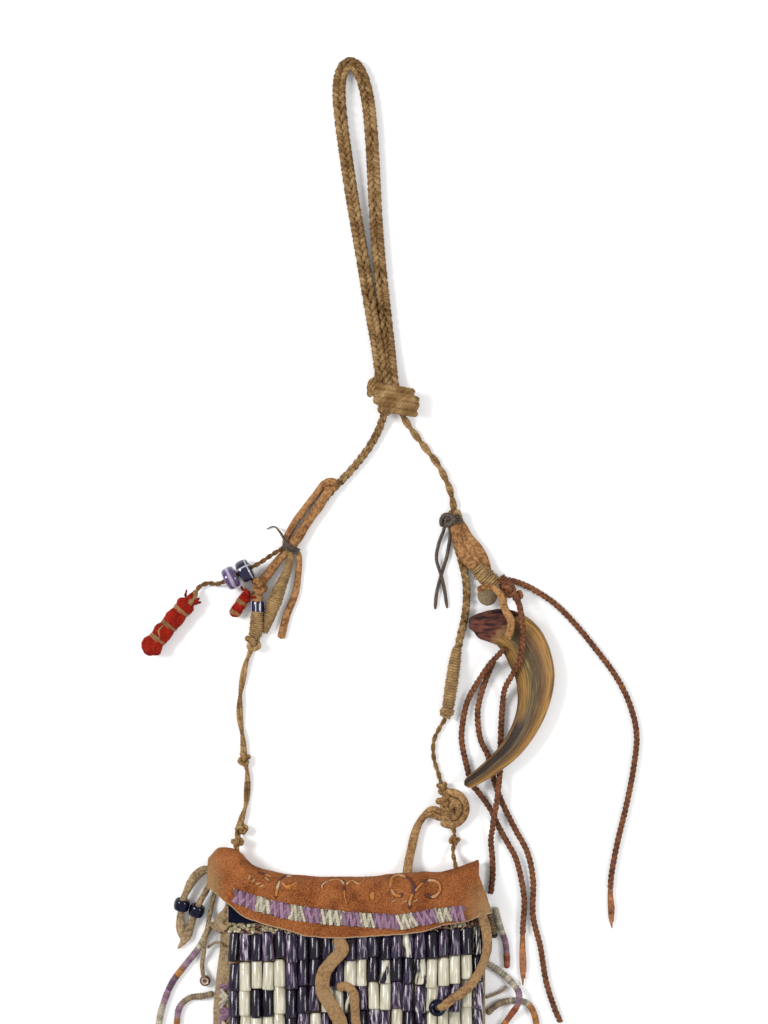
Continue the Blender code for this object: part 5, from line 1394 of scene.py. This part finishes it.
RIGHT_THONG_LEGS = (
    ((35.9, 184.8, 3.4), (36.6, 180.6, 3.6), (37.9, 176.2, 3.7), (40.4, 171.6, 3.7), (43.6, 168.6, 3.2)),
    ((37.4, 184.6, 2.6), (40.6, 179.6, 2.4), (44.4, 174.6, 2.0), (46.2, 170.8, 2.4), (47.2, 166.6, 3.0)),
    ((36.8, 184.6, 2.8), (38.8, 179.6, 2.8), (41.2, 174.9, 2.6), (42.9, 171.2, 2.6), (45.2, 168.0, 3.0)),
)
RIGHT_CORD_MIDDLE = ((35.9, 186.0, 2.0), (36.0, 183.5), (36.6, 178), (38.4, 171.5), (39.9, 165),
                     (40.2, 158), (39.5, 151.5), (38, 145), (37, 140.2))
RIGHT_CORD_LOWER = ((33.3, 119.0, 2.0), (32.6, 116.6), (31, 114), (29, 109.5), (29, 103.5), (30.5, 98.5),
                    (32, 93.5), (34, 89), (35, 83.5), (36, 78), (36, 75), (35.5, 71.5, 2.4),
                    (36.3, 67.2, 5.0), (36.5, 63.5, 6.0))
KNOT_THONG = ((34.5, 84, 4.6), (31, 83.5, 2.8), (27, 84.5, 1.4), (24, 81.5, 1.2), (22, 77),
              (21, 72.5), (19.8, 67.4, 2.4), (19.2, 62.5, 5.0))
RIGHT_WHIPPING = ((43.6, 169.0, 3.0), (45.5, 167.1, 3.1), (48.5, 164.4, 3.2), (50.4, 162.7, 3.2))
WHIPPED_STICK = ((36.9, 141.4, 2.2), (36.6, 139.4, 2.2), (36.2, 137, 2.2), (35, 129, 2.2),
                 (33.9, 121.5, 2.2), (33.3, 117.6, 2.2))
DISC_CENTRE = (47.2, 159.3, 4.2)
DISC_REACH = (0.3, 3.4, 0.2)
DISC_RADIUS = 3.2 * MM
BIG_KNOT_CENTRE = (34.8, 86.6)
STICK_END = ((33.6, 120.6, 2.4), (33.4, 119.2, 2.4), (33.3, 118.4, 2.4))
CORD_OVER_THONG = ((32.4, 91.5, 4.6), (33.0, 88.5, 6.4), (33.8, 85.2, 6.2), (34.9, 81.6, 3.2),
                   (35.4, 79, 1.4))
right_points = course(RIGHT_CORD_UPPER, 1.3 * MM, 0.4 * MM)
right_upper = dressed("right_two_ply", laid_up(twisted(right_points, 1.3 * MM, 11 * MM)), [fibre],
                      "plant_fibre", "right_cord_upper")
right_knot = dressed("right_two_ply_knot", laid_up([small_knot(36, 186.5, 2.7, 2.5, 0.9, 2.0)]), [fibre],
                     "plant_fibre")
declared(right_points)
dark_points = course(DARK_THONG, 0.6 * MM, 0.35 * MM)
run = np.linspace(0, 1, len(dark_points))
dark_girth = 0.6 * MM * np.clip(np.minimum(run, 1 - run) * 14 + 0.55, 0, 1)
dark_tie = bound((35.6, 187.0, 2.7), (36.5, 183.6, 2.8), (2.3, 2.7, 2.5), 0.42 * MM, 4)
dark_piece = dressed("dark_tails", laid_up([strand(dark_points, dark_girth, sides=10)]), [dark_thong],
                     "dark_sinew", "dark_thong")
lump = strand(course(SINEW_LUMP, 0.6 * MM, 0.4 * MM), 0.95 * MM, sides=10)
dressed("dark_binding", laid_up([dark_tie, lump]), [dark_thong], "dark_sinew")
declared(dark_points)
legs = [course(route, ROUND_THONG, THONG_STEP) for route in RIGHT_THONG_LEGS]
flat_legs = [strand(leg, 1.7 * MM * (1 + 0.15 * swells(leg, 5 * MM)), 1.15 * MM, 14, square=0.9)
             for leg in legs]
dressed("doubled_thong", laid_up(flat_legs), [orange_thong], "tan_thong", "right_thong")
disc_share = np.linspace(-0.99, 0.99, 17)
disc_points = (np.array(DISC_CENTRE) + disc_share[:, None] * DISC_REACH) * MM
disc_half = DISC_RADIUS * np.sqrt(1 - disc_share ** 2) * (1 + 0.2 * swells(disc_points, 3 * MM, 2.0))
disc_data = laid_up([strand(disc_points, disc_half, 0.8 * MM, 20)])
roughened(disc_data, 1.4 * MM, 0.15 * MM, 3.0)
mark(disc_data, "scuff", np.full(len(disc_data.vertices), 0.6))
dressed("hide_disc", disc_data, [grey_thong], "tan_thong")
dressed("right_thread_whipping", laid_up(close_wound(RIGHT_WHIPPING, (2.6, 3.2, 3.1, 2.4), 0.42 * MM, 2.0)),
        [thread], "cream_thread", "right_whipping")
middle_points = course(RIGHT_CORD_MIDDLE, 1.5 * MM, THONG_STEP)
middle_yarns = plaited(middle_points, *PLAIT_HALF, 0.8 * MM, 8 * MM, 1.0)
middle = dressed("right_plait", laid_up(middle_yarns), [fibre], "plant_fibre", "right_cord_middle")
declared(middle_points)
stick = close_wound(WHIPPED_STICK, (1.7, 2.2, 2.3, 2.3, 2.2, 1.7), 0.45 * MM, 4.0)
stick.append(winding(course(STICK_END, 0.0, 0.3 * MM), 2.0 * MM, 0.6 * MM, 2.2, dye=(0.55, 0.5, 0.45)))
dressed("whipped_end", laid_up(stick), [thread], "cream_thread", "whipped_stick")
low_points = course(RIGHT_CORD_LOWER, 0.85 * MM, 0.4 * MM)
low_plies = twisted(low_points, 0.86 * MM, 6.5 * MM, dye=(0.85, 0.8, 0.75))
right_low = dressed("right_thin_cord", laid_up(low_plies), [fibre], "plant_fibre", "right_cord_lower")
low_knots = dressed("right_thin_knots", laid_up([
    small_knot(32, 93.5, 2.4, 2.2, 0.75, 32), small_knot(36, 75.5, 2.2, 1.9, 0.6, 36),
    *twisted(course(CORD_OVER_THONG, 0.0, 0.4 * MM), 0.95 * MM, 6.5 * MM)]), [fibre], "plant_fibre")
declared(low_points)
knot_thong_points = course(KNOT_THONG, ROUND_THONG, THONG_STEP)
second_leg = strand(knot_thong_points + (1.2 * MM, 1.8 * MM, 0.6 * MM), 1.0 * MM, sides=12)
thong_tail = dressed("tied_thong", laid_up([strand(knot_thong_points, ROUND_THONG, sides=14), second_leg]),
                     [thong], "tan_thong", "thong_knot")
knot_turn = np.linspace(2.1, -2.3, 60)
knot_parts = []
for reach, height in ((5.0, 3.2), (2.5, 4.2)):
    bend = np.stack([BIG_KNOT_CENTRE[0] + reach * np.cos(knot_turn),
                     BIG_KNOT_CENTRE[1] + 1.1 * reach * np.sin(knot_turn),
                     height + 0.9 * np.sin(2 * knot_turn)], -1) * MM
    knot_parts.append(strand(bend, 1.4 * MM, 1.2 * MM, 14))
knot_parts.append(small_knot(32.8, 88.8, 4.6, 2.9, 1.1, 0.9))
big_knot = dressed("tied_thong_knot", laid_up(knot_parts), [thong], "tan_thong")
declared(knot_thong_points)

# The claw. A bear's front claw, polished and split along its grain: golden at the rims, olive between
# them, with dark painted shade in the groove under its tip and rough red-brown where it was cut from the
# paw.
CLAW_AXIS = ((41.4, 151.6, 4.2), (43.8, 150.2, 4.2), (47.5, 149, 4.3), (53, 148, 4.4), (58, 144.5, 4.4),
             (61, 139, 4.4), (63.2, 131, 4.5), (61.8, 119.6, 4.8), (56.1, 108.6, 5.2), (48, 100.8, 5.6),
             (39.4, 94.8, 5.8))
CLAW_HALF_WIDTH = (1.9, 3.9, 5.4, 6.6, 7.4, 7.4, 6.6, 4.9, 3.7, 2.8, 1.9)
CLAW_FLATNESS = 0.58
CLAW_SIDES = 56
GROOVE_ANGLE = 0.95
GROOVE_SPREAD = 0.32
GROOVE_DEPTH = 0.45
TIP_ROUNDING = 2.6
ROOT_ROUNDING = 2.0
RIDGE_HEIGHT = 0.55 * MM
ROUGH_ROOT = 0.18
horn, horn_shader, horn_place = new_finish("claw_horn", 0.45, Specular_IOR_Level=0.3)
horn_grain = own(horn_place, "grain")
horn_run, horn_across = horn_grain.part(0), horn_grain.part(1)
fibres = cloudy(horn_grain, 0.028, 4.0, (0.28, 1.0, 0.0))
horn_colour = (horn_across + (fibres - 0.5) * 0.35).ramp(
    [(0.02, hue(116, 80, 36)), (0.2, hue(172, 126, 60)), (0.38, hue(118, 98, 60)), (0.55, hue(92, 76, 48)),
     (0.72, hue(124, 84, 44)), (0.9, hue(206, 152, 74)), (1.0, hue(140, 94, 42))])
dark_lines = (fibres.step(0.46, 0.6) * 0.55).blend(horn_colour, hue(62, 44, 24))
streaky = (fibres.step(0.44, 0.34) * 0.4).blend(dark_lines, hue(206, 166, 98))
# Painted shade: the modelled groove under the tip is darkened almost to black-brown.
groove_shade_mask = horn_run.step(0.56, 0.66) * horn_across.step(0.5, 0.4) * horn_across.step(0.06, 0.14)
groove_shaded = (groove_shade_mask * 0.97).blend(streaky, hue(46, 26, 16))
flesh = cloudy(horn_place, 1.2 * MM, 4.0, (0.3, 1.0, 0.6))
root = flesh.step(0.35, 0.68).blend(hue(40, 17, 16), hue(122, 70, 56))
root_mask = (horn_run + (flesh - 0.5) * 0.06 - horn_across * 0.08).step(0.13, 0.09)
root_lip = (root_mask * (1.0 - root_mask) * 3.2).blend(root_mask.blend(groove_shaded, root), hue(168, 120, 82))
feed(horn_shader, "Base Color", root_lip)
feed(horn_shader, "Roughness", root_mask * 0.4 + fibres * 0.2 + 0.35)
raised(horn_shader, fibres + flesh * root_mask, 0.25 * MM)
claw_points = course(CLAW_AXIS, 0.0, 0.6 * MM)
claw_run = np.linspace(0, 1, len(claw_points))
knots = np.array([p[:2] for p in CLAW_AXIS])
knot_run = np.concatenate([[0], np.cumsum(np.linalg.norm(np.diff(knots, axis=0), axis=1))])
claw_half = np.interp(claw_run, knot_run / knot_run[-1], CLAW_HALF_WIDTH)
claw_half = np.convolve(np.pad(claw_half, 4, "edge"), np.ones(9) / 9, "valid") * MM
to_tip = np.clip((1 - claw_run) * knot_run[-1] / TIP_ROUNDING, 0, 1)
claw_half *= np.clip(np.sqrt(1 - (1 - to_tip) ** 2), 0.12, 1)
to_root = np.clip(claw_run * knot_run[-1] / ROOT_ROUNDING, 0, 1)
claw_half *= np.clip(np.sqrt(1 - (1 - to_root) ** 2), 0.3, 1)
_, claw_across, claw_up = frames(claw_points)
spin = np.linspace(0, math.tau, CLAW_SIDES, endpoint=False)
near_tip = np.clip((claw_run - 0.5) / 0.15, 0, 1)[:, None]
off_groove = np.angle(np.exp(1j * (spin - GROOVE_ANGLE)))
dent = GROOVE_DEPTH * near_tip * np.exp(-(off_groove / GROOVE_SPREAD) ** 2)
beak = 1 + 0.1 * np.cos(spin) ** 2 * (np.cos(spin) < 0)
beside = 0.97 * claw_half[:, None] * beak * np.cos(spin)
bulge = np.sign(np.sin(spin)) * np.abs(np.sin(spin)) ** 0.85
above = CLAW_FLATNESS * claw_half[:, None] * (1 - dent) * bulge
claw_rings = (claw_points[:, None] + claw_across[:, None] * beside[..., None]
              + claw_up[:, None] * above[..., None])
claw_grain = np.stack([np.broadcast_to(claw_run[:, None], dent.shape),
                       np.broadcast_to(0.5 - 0.5 * np.cos(spin), dent.shape), np.zeros(dent.shape)], -1)
claw_data = laid_up([(claw_rings, claw_grain, np.ones(claw_rings.shape))])
lumps = np.clip(1 - np.repeat(claw_run, CLAW_SIDES) / ROUGH_ROOT, 0, 1)
claw_corners = corners_of(claw_data)
ridges = swells(claw_corners * (0.3, 1.0, 0.6), 1.5 * MM, 3.0) + 0.5 * swells(claw_corners, 3.5 * MM, 5.0)
pushed(claw_data, np.sqrt(lumps) * ridges * RIDGE_HEIGHT)
dressed("bear_claw", claw_data, [horn], "claw_horn", "claw")

# The lashing and the braids. A pinkish tan thong curls round the claw's root, and four thin braids of
# red-brown leather hang from the whipping, two of them unplaited at their ends.
BRAID_HALF = 1.15 * MM
CURLED_THONG = ((51.2, 162.3, 3.4), (52.5, 159.5, 5.4), (52.5, 156.5, 7.8), (53.5, 154, 9.8),
                (55, 151, 10.4), (54.5, 147, 10.2), (53.5, 144.7, 9.8))
BRAID_ROUTES = (
    ((52.5, 165, 3.5), (57.5, 164, 1.6), (63, 161.5), (70.5, 156.5), (77.5, 149.5), (84.5, 141),
     (91.5, 131.5), (96, 122.5), (98.5, 112), (97.5, 100.5), (95, 87.5), (92, 75), (90, 64.5),
     (89.5, 58), (90, 51), (91, 45)),
    ((55.5, 161.5, 3.6), (57.5, 157.5, 7.6), (58.5, 153, 10.0), (59, 146, 10.3), (58, 137.5, 9.4),
     (55.5, 132.5, 7.4), (53.2, 127.5, 3.6), (52.5, 121.5), (52, 114), (51.8, 107), (51.8, 103, 1.4),
     (51.5, 98.5, 3.2), (51, 94, 3.9), (50.5, 89, 3.9), (49.5, 84, 3.9), (49, 80, 3.7),
     (48.5, 75.5, 1.8), (49, 70), (49.2, 64), (48.5, 57)),
    ((53, 142, 9.2), (51.5, 140, 7.2), (48.5, 136.5, 4.4), (46, 133, 3.8), (43, 128, 1.5),
     (40.5, 123), (39, 116.5), (38.5, 110), (40, 102), (42, 95), (45, 91), (48.5, 86), (51, 80.5),
     (54, 75), (57, 69.5), (59, 62), (60, 54.5), (59.5, 45), (59.5, 35), (60.5, 25.5)),
    ((49.5, 137), (47, 131), (44.5, 123), (44, 117.5), (45, 110), (47.5, 104.5), (49, 98.5),
     (51, 92), (53.5, 86), (57, 79), (61, 71.5), (63, 62), (63, 49.5), (65.5, 39), (67.5, 27),
     (70.5, 17.5), (72.5, 13)),
)
TAIL_SHARES = (0.1, 0.0, 0.14, 0.0)
HOOK = ((43.9, 161.0, 3.8), (46.6, 162.5, 5.0), (49.5, 161.9, 6.2), (51.7, 159.4, 7.6),
        (52.5, 156.2, 8.8))
LASHING = ((51.5, 165.4, 3.4), (54.0, 163.0, 3.9), (56.0, 160.6, 4.4))
braid_leather, braid_shader, braid_place = new_finish("braid_leather", 0.7, Specular_IOR_Level=0.25)
braid_grain = own(braid_place, "grain")
braid_streaks = cloudy(braid_grain, 0.3 * MM, 3.0, (0.3, 1.0, 1.0))
braid_age = cloudy(braid_place, 4 * MM)
braid_colour = (braid_streaks.step(0.3, 0.72) * 0.7 + braid_age.step(0.35, 0.7) * 0.35).blend(
    hue(56, 28, 16), hue(172, 108, 70))
# The leather's colour is multiplied by its points' tint, which holds painted shade where a plaited strip
# dips under.
feed(braid_shader, "Base Color", braid_colour.dyed_and_shaded(own(braid_place, "dye")))
raised(braid_shader, braid_streaks, 0.15 * MM)
curled = strand(course(CURLED_THONG, ROUND_THONG, THONG_STEP), 1.3 * MM, 0.95 * MM, 14, square=0.85)
hook = strand(course(HOOK, 0.0, THONG_STEP), 1.2 * MM, 0.9 * MM, 14, square=0.85)
dressed("curled_lashing", laid_up([curled, hook]), [orange_thong], "tan_thong", "curled_thong")
for number, (route, tail_share) in enumerate(zip(BRAID_ROUTES, TAIL_SHARES), 1):
    points = course(route, BRAID_HALF, 0.4 * MM)
    cut = len(points) - int(tail_share * len(points))
    strands = plaited(points[:cut], BRAID_HALF, 1.05 * MM, 0.62 * MM, 5.4 * MM, 0.5)
    if tail_share:
        loose = points[cut - 4:]
        fan = np.linspace(0, 1, len(loose))
        for k, side in enumerate((-0.9, 0.0, 0.8)):
            reach = len(loose) - k * 6
            strip = loose[:reach] + np.stack([side * fan, 0 * fan, (0.2 * k - 0.3) * fan], -1)[:reach] * MM
            strip[:, 2] = np.maximum(strip[:, 2], 0.35 * MM)
            taper = 0.75 * MM * np.clip((1 - np.linspace(0, 1, reach)) * 3 + 0.25, 0, 1)
            strands.append(strand(strip, taper, 0.35 * MM, 10, dye=(1.7, 2.0, 2.1)))
    piece = dressed(f"leather_braid_{number}", laid_up(strands), [braid_leather], "red_brown_leather",
                    f"braid_{number}")
    declared(points[:-8] if tail_share else points)
lashing = close_wound(LASHING, (1.9, 2.3, 1.7), 0.4 * MM, 1.0)
lashing += [small_knot(54.6, 161.4, 5.2, 2.5, 0.85, 0.7), small_knot(57.4, 159.6, 4.6, 1.9, 0.7, 2.0)]
dressed("braid_lashing", laid_up(lashing), [braid_leather], "red_brown_leather")

# The room. A pale floor under the bag, which the bounds leave out, and soft studio light from both
# sides under a white sky.
FLOOR_HALF = 2.5
FLOOR_HEIGHT = -0.3 * MM
floor_data = bpy.data.meshes.new("floor")
floor_data.from_pydata([(x * FLOOR_HALF, y * FLOOR_HALF, FLOOR_HEIGHT)
                        for x, y in ((-1, -1), (1, -1), (1, 1), (-1, 1))], [], [(0, 1, 2, 3)])
floor_data.materials.append(new_finish("pale_floor", 0.9, Base_Color=(0.9, 0.9, 0.9, 1.0))[0])
floor = bpy.data.objects.new("floor", floor_data)
scene.collection.objects.link(floor)
floor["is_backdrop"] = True
world = bpy.data.worlds.new("studio")
world.use_nodes = True
sky = world.node_tree.nodes["Background"]
sky.inputs["Color"].default_value = (1.0, 1.0, 1.0, 1.0)
sky.inputs["Strength"].default_value = 0.75
scene.world = world
for name, spot, size, power in (("left_light", (-0.7, 0.35, 0.75), 0.32, 9.0),
                                ("right_light", (0.75, 0.1, 0.8), 0.32, 5.0)):
    light = bpy.data.lights.new(name, "AREA")
    light.size = size
    light.energy = power
    lamp = bpy.data.objects.new(name, light)
    lamp.location = spot
    aim = Vector((0.0, 0.12, 0.0)) - Vector(spot)
    lamp.rotation_euler = aim.to_track_quat("-Z", "Y").to_euler()
    scene.collection.objects.link(lamp)

sizes = {"cad": [list(corner) for corner in cad_box], "visual": [list(corner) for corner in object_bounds()]}
